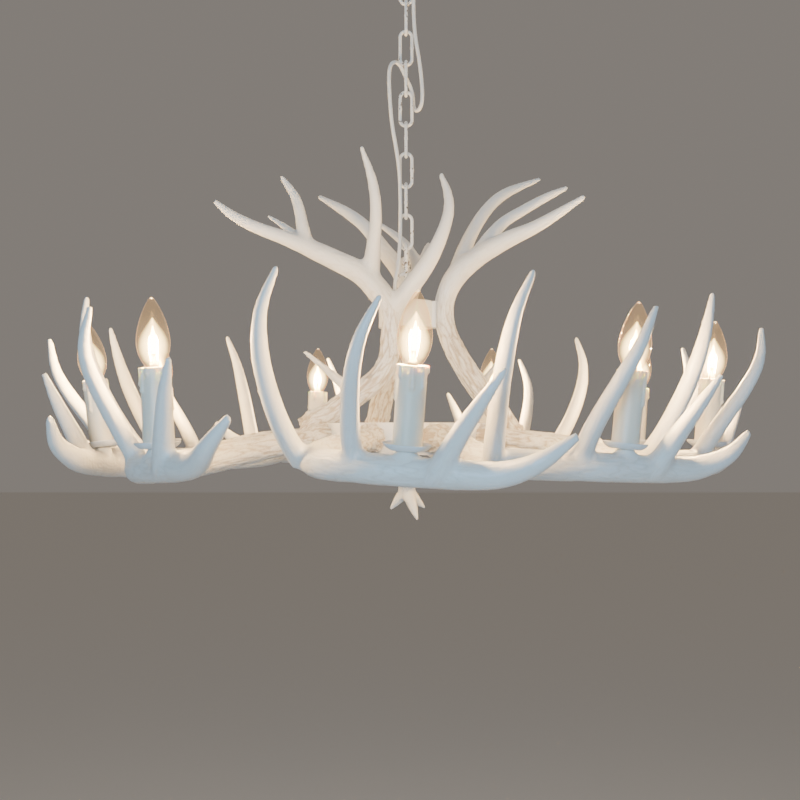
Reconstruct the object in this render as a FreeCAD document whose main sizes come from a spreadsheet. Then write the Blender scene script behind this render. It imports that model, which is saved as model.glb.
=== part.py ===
import FreeCAD, Part
import Sketcher
import math
import os

# Antler chandelier: nine cast ring antlers with candle lamps on a flat hoop, three upright antlers
# on a collar above it, a threaded rod down the middle, and a welded chain up to a ceiling canopy.
# Millimetres, +Z up, origin on the ceiling at the centre of the canopy, the front towards -Y.

SIZES = [
    # canopy and crossbar
    ("canopy_radius", 62, "rim of the ceiling canopy"),
    ("canopy_height", 30, "ceiling to the canopy's flat underside"),
    ("canopy_wall", 1.5, "sheet of the canopy"),
    ("canopy_flat", 38, "radius of the canopy's flat underside"),
    ("bar_end", 7.55, "from the middle of a crossbar's screw hole to the end of the bar"),
    ("bar_width", 20, "ceiling crossbar"),
    ("bar_thickness", 3, "ceiling crossbar"),
    ("bar_hole_radius", 2.5, "screw holes of the crossbar"),
    ("bar_hole_spacing", 88.9, "between the crossbar's screw holes"),
    ("stem_radius", 5, "threaded stem of the canopy loop"),
    ("nut_height", 6, "hexagon nuts"),
    ("nut_radius", 9.5, "hexagon nuts, across corners"),
    # loops and chain
    ("hub_radius", 10, "round foot of a loop"),
    ("hub_height", 8, "round foot of a loop"),
    ("loop_diameter", 34, "outside of the canopy loop and the top loop"),
    ("loop_wire", 5, "wire of the two loops"),
    ("loop_sink", 2, "how far a loop's ring is let into its foot"),
    ("chain_wire", 4.3, "wire of a chain link"),
    ("chain_width", 20, "outside width of a chain link"),
    ("chain_pitch", 41, "from one link to the next"),
    ("quick_length", 48.3, "outside length of the quick link"),
    ("quick_width", 22, "outside width of the quick link"),
    ("quick_wire", 5, "wire of the quick link"),
    ("sleeve_nut_radius", 5.6, "screw sleeve of the quick link, across corners"),
    ("sleeve_nut_length", 13, "screw sleeve of the quick link"),
    ("play", 0.3, "free gap where one link hangs in another"),
    # rod, collar, hoop
    ("rod_radius", 5, "centre rod"),
    ("collar_radius", 36, "outside of the upper collar"),
    ("collar_wall", 3, "wall and top plate of the upper collar"),
    ("collar_height", 35, "upper collar"),
    ("collar_level", 181, "top of the collar above the middle of the hoop"),
    ("tab_reach", 40, "flat face of a collar tab from the axis"),
    ("tab_width", 22, "collar tab"),
    ("hoop_radius", 116.5, "outside of the hoop"),
    ("hoop_wall", 4, "hoop band"),
    ("hoop_height", 40, "hoop band"),
    ("arm_width", 20, "spider arm"),
    ("arm_thickness", 4, "spider arm"),
    ("arm_level", 10, "top of the spider below the middle of the hoop"),
    ("spider_radius", 22, "disc in the middle of the spider"),
    ("rod_tail", 14, "rod end below the spider"),
    ("screw_head_radius", 6.5, "hexagon screw heads, across corners"),
    ("screw_head_height", 5, "hexagon screw heads"),
    # antlers
    ("candle_circle", 404.4, "circle on which the candles stand"),
    ("seat_drop", 10, "candle seats below the middle of the hoop"),
    ("candle_lean", 5, "outward lean of the candles, in degrees"),
    ("tine_reach", 165, "tip of a ring antler's tallest tine above the middle of the hoop"),
    ("beam_thickness", 33, "main beam of a ring antler"),
    ("tine_thickness", 21, "tines of a ring antler at mid length"),
    ("upright_reach", 200, "tip of the tallest upright antler above its waist"),
    ("trunk_thickness", 27, "trunk of an upright antler at its waist"),
    ("finial_thickness", 25, "stem of the bottom finial"),
    ("boss_radius", 12, "boss under a candle"),
    # candles
    ("pan_radius", 24.5, "drip pan"),
    ("pan_height", 7, "drip pan"),
    ("pan_floor_radius", 17, "flat floor of the drip pan"),
    ("pan_wall", 2.2, "drip pan"),
    ("sleeve_radius", 15, "outside of the candle sleeve"),
    ("sleeve_wall", 1.6, "candle sleeve"),
    ("sleeve_height", 83, "candle sleeve"),
    ("holder_radius", 11.5, "lamp holder"),
    ("holder_drop", 1, "holder rim below the sleeve's rim"),
    ("cap_radius", 6.95, "threaded cap of the lamp"),
    ("cap_height", 24, "threaded cap of the lamp"),
    ("cap_gap", 0.45, "cap in the holder's bore"),
    ("bulb_neck", 8, "radius of the glass where it meets the cap"),
    ("bulb_radius", 17.75, "widest radius of the glass"),
    ("bulb_belly", 28, "height of the widest place above the cap"),
    ("bulb_height", 74, "glass of the lamp"),
    ("bulb_tip", 8, "drawn tip of the glass"),
    ("bulb_tip_radius", 3, "foot of the drawn tip"),
    # cord
    ("cord_diameter", 5, "lamp cord"),
    ("grommet_radius", 6, "grommets of the cord"),
    ("grommet_height", 4, "grommets of the cord"),
]
LINK_COUNT = 9          # chain links between the canopy loop and the quick link
CANDLES = 9             # ring antlers
BEAM_SIDES = 7          # flat sides around a beam or a trunk
TINE_SIDES = 6          # flat sides around a tine, a link's wire or the cord
CANDLE_SIDES = 12       # flat sides around the repeated candle pieces
CANOPY_SIDES = 24       # flat sides around the spun canopy
COLLAR_SIDES = 24       # flat sides around the upper collar
HOOP_SIDES = 36         # flat sides around the hoop
RING_REACH = 165.0      # the ring mould's tallest tine above the hoop's middle
BURR_SIDE = 47.0        # the ring mould's flat end beside the line from the axis to the candle
LAMP_SIDES = 8          # flat sides around the hidden lamp holder and cap, and in the nuts
UP = FreeCAD.Vector(0, 0, 1)


class Size:
    """A length with the sheet expression that it comes from."""

    def __init__(self, value, text):
        self.value = value
        self.text = text

    def join(self, sign, other, value):
        return Size(value, "(" + self.text + " " + sign + " " + as_size(other).text + ")")

    def __add__(self, other):
        return self.join("+", other, self.value + as_size(other).value)

    def __sub__(self, other):
        return self.join("-", other, self.value - as_size(other).value)

    def __mul__(self, other):
        return self.join("*", other, self.value * as_size(other).value)

    def __truediv__(self, other):
        return self.join("/", other, self.value / as_size(other).value)

    def __neg__(self):
        return Size(-self.value, "(-1 * " + self.text + ")")


def as_size(number):
    """A plain number as a Size."""
    return number if isinstance(number, Size) else Size(float(number), repr(float(number)))


document = FreeCAD.newDocument("AntlerChandelier")
sheet = document.addObject("Spreadsheet::Sheet", "Sizes")
size = {}
for row, (alias, value, meaning) in enumerate(SIZES, start=1):
    sheet.set("A%d" % row, meaning)
    sheet.set("B%d" % row, str(value))
    sheet.setAlias("B%d" % row, alias)
    size[alias] = Size(float(value), "Sizes." + alias)
document.recompute()

nodes = []


def node(piece, label):
    """Names a finished sub-part, whose label is its file's name."""
    piece.Label = label
    nodes.append(piece)
    return piece


def mm(alias):
    """The value of one size from the sheet."""
    return size[alias].value


# ---------------------------------------------------------------- kinds of piece


def profile(body, name, outline):
    """A closed sketch on a body's own flat plane, its corners bound to the sheet."""
    sketch = body.newObject("Sketcher::SketchObject", name + "_outline")
    plane = [o for o in body.Origin.OriginFeatures if o.Role == "XY_Plane"][0]
    sketch.AttachmentSupport = [(plane, "")]
    sketch.MapMode = "FlatFace"
    corners = [(as_size(c[0]), as_size(c[1])) for c in outline]
    spots = [FreeCAD.Vector(x.value, y.value, 0) for x, y in corners]
    for i, spot in enumerate(spots):
        sketch.addGeometry(Part.LineSegment(spots[i - 1], spot), False)
    for i in range(len(spots)):
        sketch.addConstraint(Sketcher.Constraint("Coincident", i, 2, (i + 1) % len(spots), 1))
    for i, (x, y) in enumerate(corners):
        bind(sketch, i, 2, x, y)
    sketch.Visibility = False
    return sketch


def bind(sketch, line, end, x, y):
    """Holds a point of a sketch at two sizes from the sketch's origin."""
    for kind, axis, length in (("DistanceX", -2, x), ("DistanceY", -1, y)):
        if length.value == 0:
            sketch.addConstraint(Sketcher.Constraint("PointOnObject", line, end, axis))
        else:
            number = sketch.addConstraint(Sketcher.Constraint(kind, -1, 1, line, end, length.value))
            sketch.setExpression("Constraints[%d]" % number, length.text)


def plate(name, outline, holes, thickness, placement=FreeCAD.Placement()):
    """A flat body: a closed outline of (x, y) corners with round holes of (x, y, radius)."""
    body = document.addObject("PartDesign::Body", name)
    sketch = profile(body, name, outline)
    for x, y, radius in holes:
        circle = Part.Circle(FreeCAD.Vector(as_size(x).value, as_size(y).value, 0), UP, radius.value)
        number = sketch.addGeometry(circle, False)
        bind(sketch, number, 3, as_size(x), as_size(y))
        held = sketch.addConstraint(Sketcher.Constraint("Radius", number, radius.value))
        sketch.setExpression("Constraints[%d]" % held, radius.text)
    pad = body.newObject("PartDesign::Pad", name + "_pad")
    pad.Profile = sketch
    pad.setExpression("Length", thickness.text)
    body.Placement = placement
    return body


def solid_of(kind, name, lengths, placement=FreeCAD.Placement()):
    """A Part primitive with its sizes bound to the sheet."""
    piece = document.addObject("Part::" + kind, name)
    for field, length in lengths.items():
        piece.setExpression(field, as_size(length).text)
    piece.Placement = placement
    return piece


def joined(kind, name, **parts):
    """A boolean of finished objects."""
    piece = document.addObject("Part::" + kind, name)
    for field, value in parts.items():
        setattr(piece, field, value)
    return piece


def freeform(name, shape, placement=FreeCAD.Placement()):
    """A cast or bent piece whose shape no primitive or sketch gives."""
    piece = document.addObject("Part::Feature", name)
    piece.Shape = shape
    piece.Placement = placement.multiply(shape.Placement)
    return piece


def at(x, y, z, turn=0):
    """A placement at x, y, z, turned about the vertical by an angle in degrees."""
    return FreeCAD.Placement(FreeCAD.Vector(x, y, z), FreeCAD.Rotation(UP, turn))


def facet(*corners):
    """A flat face between corners."""
    return Part.Face(Part.makePolygon(list(corners) + [corners[0]]))


def skin(rings, closed):
    """The facets between rings of corners, joined end to end when the rings close on themselves."""
    pairs = list(zip(rings, rings[1:]))
    if closed:
        pairs.append((rings[-1], rings[0]))
    faces = []
    for low, high in pairs:
        for i in range(len(low)):
            j = (i + 1) % len(low)
            faces.append(facet(low[i], low[j], high[j]))
            faces.append(facet(low[i], high[j], high[i]))
    return faces


def sewn(faces):
    """A solid from facets that close."""
    shell = Part.makeShell(faces)
    shell.sewShape()
    solid = Part.makeSolid(shell)
    if solid.Volume < 0:
        solid.reverse()
    return solid


def limb(stations, sides):
    """One limb of an antler: flat facets round a bent middle line of (x, y, z, radius) stations."""
    points = [FreeCAD.Vector(*s[:3]) for s in stations]
    radii = [s[3] for s in stations]
    last = len(points) - 1
    across = None
    rings = []
    for i, point in enumerate(points):
        behind = (points[i] - points[i - 1]).normalize() if i else (points[1] - points[0]).normalize()
        ahead = (points[i + 1] - points[i]).normalize() if i < last else behind
        along = (behind + ahead).normalize()
        if across is None:
            across = along.cross(UP if abs(along.z) < 0.9 else FreeCAD.Vector(0, 1, 0))
        across = (across - along * across.dot(along)).normalize()
        over = along.cross(across)
        steps = [2 * math.pi * k / sides for k in range(sides)]
        rings.append([point + (across * math.cos(a) + over * math.sin(a)) * radii[i] for a in steps])
    tip = points[-1] + (points[-1] - points[-2]).normalize() * radii[-1]
    faces = skin(rings, False) + [facet(*reversed(rings[0]))]
    for k in range(sides):
        faces.append(facet(rings[-1][k], rings[-1][(k + 1) % sides], tip))
    return sewn(faces)


def chain_link(length, width, wire, bend_steps=4, sides=TINE_SIDES):
    """A welded link in the XZ plane about its own centre, from its outside sizes and its wire."""
    bend = (width - wire) / 2
    rise = (length - width) / 2
    rings = []
    for end in (1, -1):
        for step in range(bend_steps + 1):
            if rise == 0 and end == -1 and step == 0:
                continue
            if rise == 0 and end == -1 and step == bend_steps:
                continue
            angle = math.pi * step / bend_steps
            out = FreeCAD.Vector(math.cos(angle), 0, math.sin(angle)) * end
            middle = out * bend + UP * rise * end
            turns = [2 * math.pi * k / sides for k in range(sides)]
            side = FreeCAD.Vector(0, 1, 0)
            rings.append([middle + (out * math.cos(a) + side * math.sin(a)) * wire / 2 for a in turns])
    return sewn(skin(rings, True))


def prism(outline, sides):
    """A many-sided lathe form: a closed outline of (radius, height) corners, in flat facets."""
    corners = [(as_size(r).value, as_size(z).value) for r, z in outline]
    rings = []
    for radius, height in corners:
        turns = [2 * math.pi * k / sides for k in range(sides)]
        rings.append([FreeCAD.Vector(radius * math.cos(a), radius * math.sin(a), height)
                      for a in turns])
    faces = []
    for i, (radius, height) in enumerate(corners):
        past, ring = rings[i - 1], rings[i]
        if corners[i - 1][0] == 0 and radius == 0:
            continue
        for k in range(sides):
            j = (k + 1) % sides
            if corners[i - 1][0] == 0:
                faces.append(facet(past[0], ring[j], ring[k]))
            elif radius == 0:
                faces.append(facet(past[k], past[j], ring[0]))
            else:
                faces.append(facet(past[k], past[j], ring[j], ring[k]))
    return sewn(faces)


def fused(shapes):
    """One solid from overlapping solids."""
    return shapes[0].fuse(shapes[1:]).removeSplitter()


def largest(shape):
    """The main solid of a shape that was cut, without crumbs."""
    return max(shape.Solids, key=lambda solid: solid.Volume)


# ---------------------------------------------------------------- heights, from the ceiling down

loop_centre = -(mm("canopy_height") + mm("hub_height") - mm("loop_sink") + mm("loop_diameter") / 2)
loop_wire_level = loop_centre - (mm("loop_diameter") - mm("loop_wire")) / 2
link_length = mm("chain_pitch") + 2 * mm("chain_wire")
top_link_top = loop_wire_level + mm("loop_wire") / 2 + mm("play") + mm("chain_wire")
last_link_wire_level = (top_link_top + mm("play") - (LINK_COUNT - 1) * mm("chain_pitch")
                        - link_length + mm("chain_wire") / 2)
quick_top = last_link_wire_level + mm("chain_wire") / 2 + mm("play") + mm("quick_wire")
quick_wire_level = quick_top - mm("quick_length") + mm("quick_wire") / 2
top_loop_wire_level = quick_wire_level + (mm("quick_wire") + mm("loop_wire")) / 2 + mm("play")
top_loop_centre = top_loop_wire_level - (mm("loop_diameter") - mm("loop_wire")) / 2
collar_top = top_loop_centre - mm("loop_diameter") / 2 + mm("loop_sink") - mm("hub_height")
hoop_middle = collar_top - mm("collar_level")
arm_top = hoop_middle - mm("arm_level")
arm_bottom = arm_top - mm("arm_thickness")
rod_bottom = arm_bottom - mm("rod_tail")
collar_middle = collar_top - mm("collar_height") / 2
# Degrees from a candle's direction to its antler's flat end, and to the hoop's flats behind them.
burr_turn = math.degrees(math.atan2(BURR_SIDE * mm("tine_reach") / RING_REACH, mm("hoop_radius")))
hoop_turn = -90 - burr_turn - 180 / HOOP_SIDES

# ---------------------------------------------------------------- canopy


def make_canopy():
    """The ceiling dish, open at the top, with a hole for the loop's stem."""
    rim, wall = size["canopy_radius"], size["canopy_wall"]
    depth, flat = size["canopy_height"], size["canopy_flat"]
    hole = size["stem_radius"] + size["play"]
    hip = flat + (rim - flat) * 0.7
    dish = prism([
        (hole, -depth), (flat, -depth), (hip, depth * -0.6), (rim, 0), (rim - wall, 0),
        (hip - wall, depth * -0.6 + wall / 2), (flat - wall / 2, wall - depth),
        (hole, wall - depth)], CANOPY_SIDES)
    node(freeform("Canopy", dish), "ceiling_canopy")


def make_crossbar():
    """The flat bar that is screwed to the ceiling box and carries the loop's stem."""
    reach, side = size["bar_hole_spacing"] / 2 + size["bar_end"], size["bar_width"] / 2
    screw = size["bar_hole_spacing"] / 2
    holes = [(-screw, 0, size["bar_hole_radius"]), (screw, 0, size["bar_hole_radius"])]
    bar = plate("Bar", [(-reach, -side), (reach, -side), (reach, side), (-reach, side)], holes,
                size["bar_thickness"], at(0, 0, -mm("bar_thickness")))
    node(bar, "ceiling_crossbar")


def hexagon_nut(name, bottom):
    """A hexagon nut on a rod of the centre rod's size."""
    blank = solid_of("Prism", name + "Blank", {"Circumradius": size["nut_radius"],
                                               "Height": size["nut_height"]}, at(0, 0, bottom))
    return joined("Cut", name, Base=blank, Tool=bore_of(name, bottom, size["nut_height"]))


def bore_of(name, bottom, thickness):
    """The tool that bores a piece for the centre rod, with flats that touch the rod."""
    flats = size["rod_radius"] / math.cos(math.pi / LAMP_SIDES)
    bore = solid_of("Prism", name + "Bore", {"Circumradius": flats, "Height": thickness * 3},
                    at(0, 0, bottom - thickness.value))
    bore.Polygon = LAMP_SIDES
    return bore


def make_canopy_loop():
    """The ring under the canopy with its foot and threaded stem, and the nut inside the canopy."""
    foot, high, stem = size["hub_radius"], size["hub_height"], size["stem_radius"]
    stem_top = size["canopy_height"] - size["bar_thickness"]
    spindle = prism([(0, -high), (foot * 0.7, -high), (foot, -high * 0.55), (foot, 0),
                     (stem, 0), (stem, stem_top), (0, stem_top)], CANDLE_SIDES)
    spindle.translate(UP * -mm("canopy_height"))
    ring = chain_link(mm("loop_diameter"), mm("loop_diameter"), mm("loop_wire"), 6)
    ring.rotate(FreeCAD.Vector(), UP, 90)
    ring.translate(UP * loop_centre)
    node(freeform("CanopyLoop", fused([spindle, ring])), "canopy_loop")
    node(hexagon_nut("StemNut", -mm("bar_thickness") - mm("nut_height")), "stem_nut")


def make_chain():
    """The welded links, each turned a quarter against the next, and the quick link below."""
    shapes = []
    for number in range(LINK_COUNT):
        link = chain_link(link_length, mm("chain_width"), mm("chain_wire"))
        top = top_link_top - number * mm("chain_pitch") + (mm("play") if number else 0)
        link.rotate(FreeCAD.Vector(), UP, 90 * (number % 2))
        link.translate(UP * (top - link_length / 2))
        shapes.append(link)
    node(freeform("TopLink", shapes[0]), "chain_top_link")
    node(freeform("ChainLinks", Part.makeCompound(shapes[1:])), "chain_links")
    quick = chain_link(mm("quick_length"), mm("quick_width"), mm("quick_wire"))
    sleeve = Part.makePolygon([FreeCAD.Vector(mm("sleeve_nut_radius") * math.cos(math.pi * k / 3),
                                              mm("sleeve_nut_radius") * math.sin(math.pi * k / 3), 0)
                               for k in range(7)])
    nut = Part.Face(sleeve).extrude(UP * mm("sleeve_nut_length"))
    nut.translate(FreeCAD.Vector((mm("quick_width") - mm("quick_wire")) / 2, 0,
                                 -mm("sleeve_nut_length") / 2))
    whole = fused([quick, nut])
    whole.rotate(FreeCAD.Vector(), UP, 90)
    whole.translate(UP * (quick_top - mm("quick_length") / 2))
    node(freeform("QuickLink", whole), "quick_link")


# ---------------------------------------------------------------- rod, collar, hoop


def make_top_loop():
    """The ring that the fixture hangs from, with its foot on the collar."""
    foot, high = size["hub_radius"], size["hub_height"]
    spindle = prism([(0, 0), (foot, 0), (foot, high * 0.45), (foot * 0.7, high), (0, high)],
                    CANDLE_SIDES)
    spindle.translate(UP * collar_top)
    ring = chain_link(mm("loop_diameter"), mm("loop_diameter"), mm("loop_wire"), 6)
    ring.translate(UP * top_loop_centre)
    node(freeform("TopLoop", fused([spindle, ring])), "top_loop")


def tab_direction(angle):
    """The level direction of a collar tab."""
    return FreeCAD.Vector(math.cos(math.radians(angle)), math.sin(math.radians(angle)), 0)


def make_collar(angles):
    """The upper collar, a cup turned down, with a flat tab for each upright antler."""
    radius, wall, high = size["collar_radius"], size["collar_wall"], size["collar_height"]
    cup = solid_of("Prism", "CollarCup", {"Circumradius": radius, "Height": high},
                   at(0, 0, collar_top - high.value))
    cup.Polygon = COLLAR_SIDES
    tabs = []
    for angle in angles:
        inner = tab_direction(angle) * (radius - wall).value
        corner = inner + FreeCAD.Vector(inner.y, -inner.x, 0).normalize() * (mm("tab_width") / 2)
        place = at(corner.x, corner.y, collar_top - high.value, angle)
        tabs.append(solid_of("Box", "Tab", {"Length": size["tab_reach"] - radius + wall,
                                            "Width": size["tab_width"], "Height": high}, place))
    inside = solid_of("Prism", "CollarInside", {"Circumradius": radius - wall, "Height": high - wall},
                      at(0, 0, collar_top - high.value))
    inside.Polygon = COLLAR_SIDES
    outer = joined("MultiFuse", "CollarOuter", Shapes=[cup] + tabs)
    hollow = joined("MultiFuse", "CollarHollow", Shapes=[inside, bore_of("Collar", collar_top, high)])
    node(joined("Cut", "Collar", Base=outer, Tool=hollow), "upper_collar")
    heads = []
    for angle in angles:
        spot = tab_direction(angle) * math.sqrt((radius - wall).value ** 2
                                                - mm("screw_head_radius") ** 2)
        heads.append(screw_head(spot + UP * collar_middle, tab_direction(angle)))
    node(joined("Compound", "CollarScrews", Links=heads), "collar_screws")


def screw_head(seat, outward):
    """A hexagon screw head whose flat side bears at seat, with the screw going outward."""
    turn = FreeCAD.Rotation(UP, outward)
    place = FreeCAD.Placement(seat - outward * mm("screw_head_height"), turn)
    return solid_of("Prism", "ScrewHead", {"Circumradius": size["screw_head_radius"],
                                           "Height": size["screw_head_height"]}, place)


def make_centre():
    """The rod with its nuts, the spider, the hoop and the screws that hold the ring antlers."""
    radius, wall, high = size["hoop_radius"], size["hoop_wall"], size["hoop_height"]
    hoops = []
    for name, reach in (("HoopOutside", radius), ("HoopInside", radius - wall)):
        hoops.append(solid_of("Prism", name, {"Circumradius": reach, "Height": high},
                              at(0, 0, hoop_middle - mm("hoop_height") / 2, hoop_turn)))
        hoops[-1].Polygon = HOOP_SIDES
    node(joined("Cut", "Hoop", Base=hoops[0], Tool=hoops[1]), "hoop")
    disc = solid_of("Cylinder", "SpiderDisc", {"Radius": size["spider_radius"],
                                               "Height": size["arm_thickness"]}, at(0, 0, arm_bottom))
    arms = []
    for arm in range(3):
        out = tab_direction(90 + 120 * arm)
        start = FreeCAD.Vector(out.y, -out.x, 0) * (mm("arm_width") / 2)
        arms.append(solid_of("Box", "SpiderArm", {"Length": radius, "Width": size["arm_width"],
                                                  "Height": size["arm_thickness"]},
                             at(start.x, start.y, arm_bottom, 90 + 120 * arm)))
    star = joined("MultiFuse", "SpiderStar", Shapes=[disc] + arms)
    reach = solid_of("Prism", "SpiderReach", {"Circumradius": radius - wall,
                                              "Height": size["arm_thickness"] * 3},
                     at(0, 0, arm_bottom - mm("arm_thickness"), hoop_turn))
    reach.Polygon = HOOP_SIDES
    trimmed = joined("Common", "SpiderTrimmed", Base=star, Tool=reach)
    bore = bore_of("Spider", arm_bottom, size["arm_thickness"])
    node(joined("Cut", "Spider", Base=trimmed, Tool=bore), "hub_spider")
    length = (size["collar_level"] + size["arm_level"] + size["arm_thickness"] + size["rod_tail"])
    node(solid_of("Cylinder", "Rod", {"Radius": size["rod_radius"], "Height": length},
                  at(0, 0, rod_bottom)), "centre_rod")
    nuts = [hexagon_nut("SpiderNut", arm_top), hexagon_nut("UnderNut", arm_bottom - mm("nut_height")),
            hexagon_nut("CollarNut", collar_top - mm("collar_wall") - mm("nut_height"))]
    node(joined("Compound", "RodNuts", Links=nuts), "rod_nuts")
    heads = []
    for number in range(CANDLES):
        out = tab_direction(-90 - burr_turn + 360 / CANDLES * number)
        seat = out * ((radius - wall).value * math.cos(math.pi / HOOP_SIDES))
        heads.append(screw_head(seat + UP * hoop_middle, out))
    node(joined("Compound", "AntlerScrews", Links=heads), "antler_screws")


def make_finial():
    """The cast end piece under the spider: a short stem that ends in three points."""
    thick = mm("finial_thickness") / 2
    top = rod_bottom
    stem = limb([(0, 0, top, thick), (0, 0, top - 12, thick), (1, 0, top - 38, thick * 0.9),
                 (2, -1, top - 52, thick * 0.8)], BEAM_SIDES)
    points = [[(0, 0, top - 40, thick * 0.7), (-11, 5, top - 54, thick * 0.5),
               (-21, 8, top - 66, thick * 0.12)],
              [(2, 0, top - 40, thick * 0.7), (14, 6, top - 54, thick * 0.5),
               (25, 10, top - 64, thick * 0.12)],
              [(2, -2, top - 44, thick * 0.7), (9, -10, top - 62, thick * 0.5),
               (15, -15, top - 79, thick * 0.12)]]
    node(freeform("Finial", fused([stem] + [limb(p, TINE_SIDES) for p in points])), "finial")


# ---------------------------------------------------------------- ring antlers

# One mould. Each station: share of the way from the hoop to the candle circle, sideways to the
# right as seen from the axis, height above the hoop's middle, and thickness as a share.
RING_BEAM = [(-0.06, -44, 0, 1.15), (0.03, -47, 0, 1.15), (0.07, -50, -2, 0.94), (0.29, -70, -9, 0.94),
             (0.60, -100, -26, 1.0), (0.79, -92, -31, 1.03), (1.00, -50, -31, 1.0), (1.01, 5, -31, 0.97),
             (1.05, 50, -30, 0.94), (1.09, 95, -26, 0.82), (1.14, 130, -10, 0.6), (1.15, 163, 17, 0.28)]
RING_TINES = [
    [(0.70, -112, -33, 1.25), (0.78, -132, -1, 1.1), (0.86, -149, 43, 1.0), (0.92, -158, 85, 0.9),
     (0.96, -157, 124, 0.68), (0.99, -143, 165, 0.36)],
    [(1.00, -55, -33, 1.25), (1.06, -58, 15, 0.98), (1.16, -57, 62, 0.84), (1.21, -50, 97, 0.66),
     (1.23, -34, 136, 0.36)],
    [(1.05, 30, -33, 1.3), (1.11, 50, 9, 1.0), (1.16, 69, 43, 0.74), (1.20, 89, 76, 0.36)]]
# How each casting sits: (turn, further out, roll, pitch), degrees and millimetres, from the front.
STANCES = [(-1.5, -28, -4.1, -0.6), (-1.3, -39, -3.1, 0.0), (0.4, -20, -1.3, 0.4), (0.9, -9, 0.0, -0.1),
           (0.6, -6, 1.3, -1.3), (1.6, 25, 1.9, 2.3), (0.5, 12, 0.5, -0.4), (-0.3, -15, 3.7, -2.5),
           (-0.9, 3, 0.9, 2.3)]
STANCE_PIVOT = 0.93     # share of the way out about which a casting is turned


def share_out(share):
    """The distance from the axis at a share of the way from the hoop to the candle circle."""
    return mm("hoop_radius") + share * (mm("candle_circle") - mm("hoop_radius"))


def stand(out, side, up, number):
    """A mould point in the chandelier's frame: the casting's stance, then its place on the ring."""
    turn, further, roll, pitch = STANCES[number]
    share = (out - mm("hoop_radius")) / (mm("candle_circle") - mm("hoop_radius"))
    weight = min(max(share / 0.6, 0.0), 1.0)
    weight = weight * weight * (3 - 2 * weight)
    pivot = share_out(STANCE_PIVOT)
    a, b, c = (math.radians(v) * weight for v in (turn, roll, pitch))
    out_ = pivot + (out - pivot) * math.cos(a) - side * math.sin(a)
    side_ = (out - pivot) * math.sin(a) + side * math.cos(a)
    side_, up_ = side_ * math.cos(b) - up * math.sin(b), side_ * math.sin(b) + up * math.cos(b)
    out_, up_ = (pivot + (out_ - pivot) * math.cos(c) - up_ * math.sin(c),
                 (out_ - pivot) * math.sin(c) + up_ * math.cos(c))
    out_ += further * weight * mm("tine_reach") / RING_REACH
    round_ = math.radians(360 / CANDLES * number)
    return FreeCAD.Vector(out_ * math.sin(round_) + side_ * math.cos(round_),
                          -out_ * math.cos(round_) + side_ * math.sin(round_), hoop_middle + up_)


def candle_frame(number):
    """The placement of a candle: on its seat, leaning outwards."""
    lean = math.radians(mm("candle_lean"))
    seat = stand(mm("candle_circle"), 0, -mm("seat_drop"), number)
    high = mm("sleeve_height")
    above = stand(mm("candle_circle") + high * math.sin(lean), 0,
                  high * math.cos(lean) - mm("seat_drop"), number)
    return FreeCAD.Placement(seat, FreeCAD.Rotation(UP, above - seat))


def hoop_space():
    """The space within the hoop's outside, which the antlers keep clear of."""
    high = 4 * mm("hoop_height")
    space = prism([(0, 0), (mm("hoop_radius"), 0), (mm("hoop_radius"), high), (0, high)], HOOP_SIDES)
    space.rotate(FreeCAD.Vector(), UP, hoop_turn)
    space.translate(UP * (hoop_middle - high / 2))
    return space


def ring_antler(number):
    """One cast ring antler: beam, boss and tines, cut to sit against the hoop."""
    scale = mm("tine_reach") / RING_REACH

    def stations(rows, thickness):
        placed = []
        for share, side, up, part in rows:
            spot = stand(share_out(share), side * scale, up * scale, number)
            placed.append((spot.x, spot.y, spot.z, thickness / 2 * part))
        return placed
    limbs = [limb(stations(RING_BEAM, mm("beam_thickness")), BEAM_SIDES)]
    limbs += [limb(stations(rows, mm("tine_thickness")), TINE_SIDES) for rows in RING_TINES]
    frame = candle_frame(number)
    depth = -mm("beam_thickness") / 2
    boss = prism([(0, depth), (mm("boss_radius"), depth), (mm("boss_radius"), 0), (0, 0)],
                 BEAM_SIDES)
    boss.Placement = frame
    return largest(fused(limbs + [boss]).cut(hoop_space()))


# ---------------------------------------------------------------- upright antlers

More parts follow.
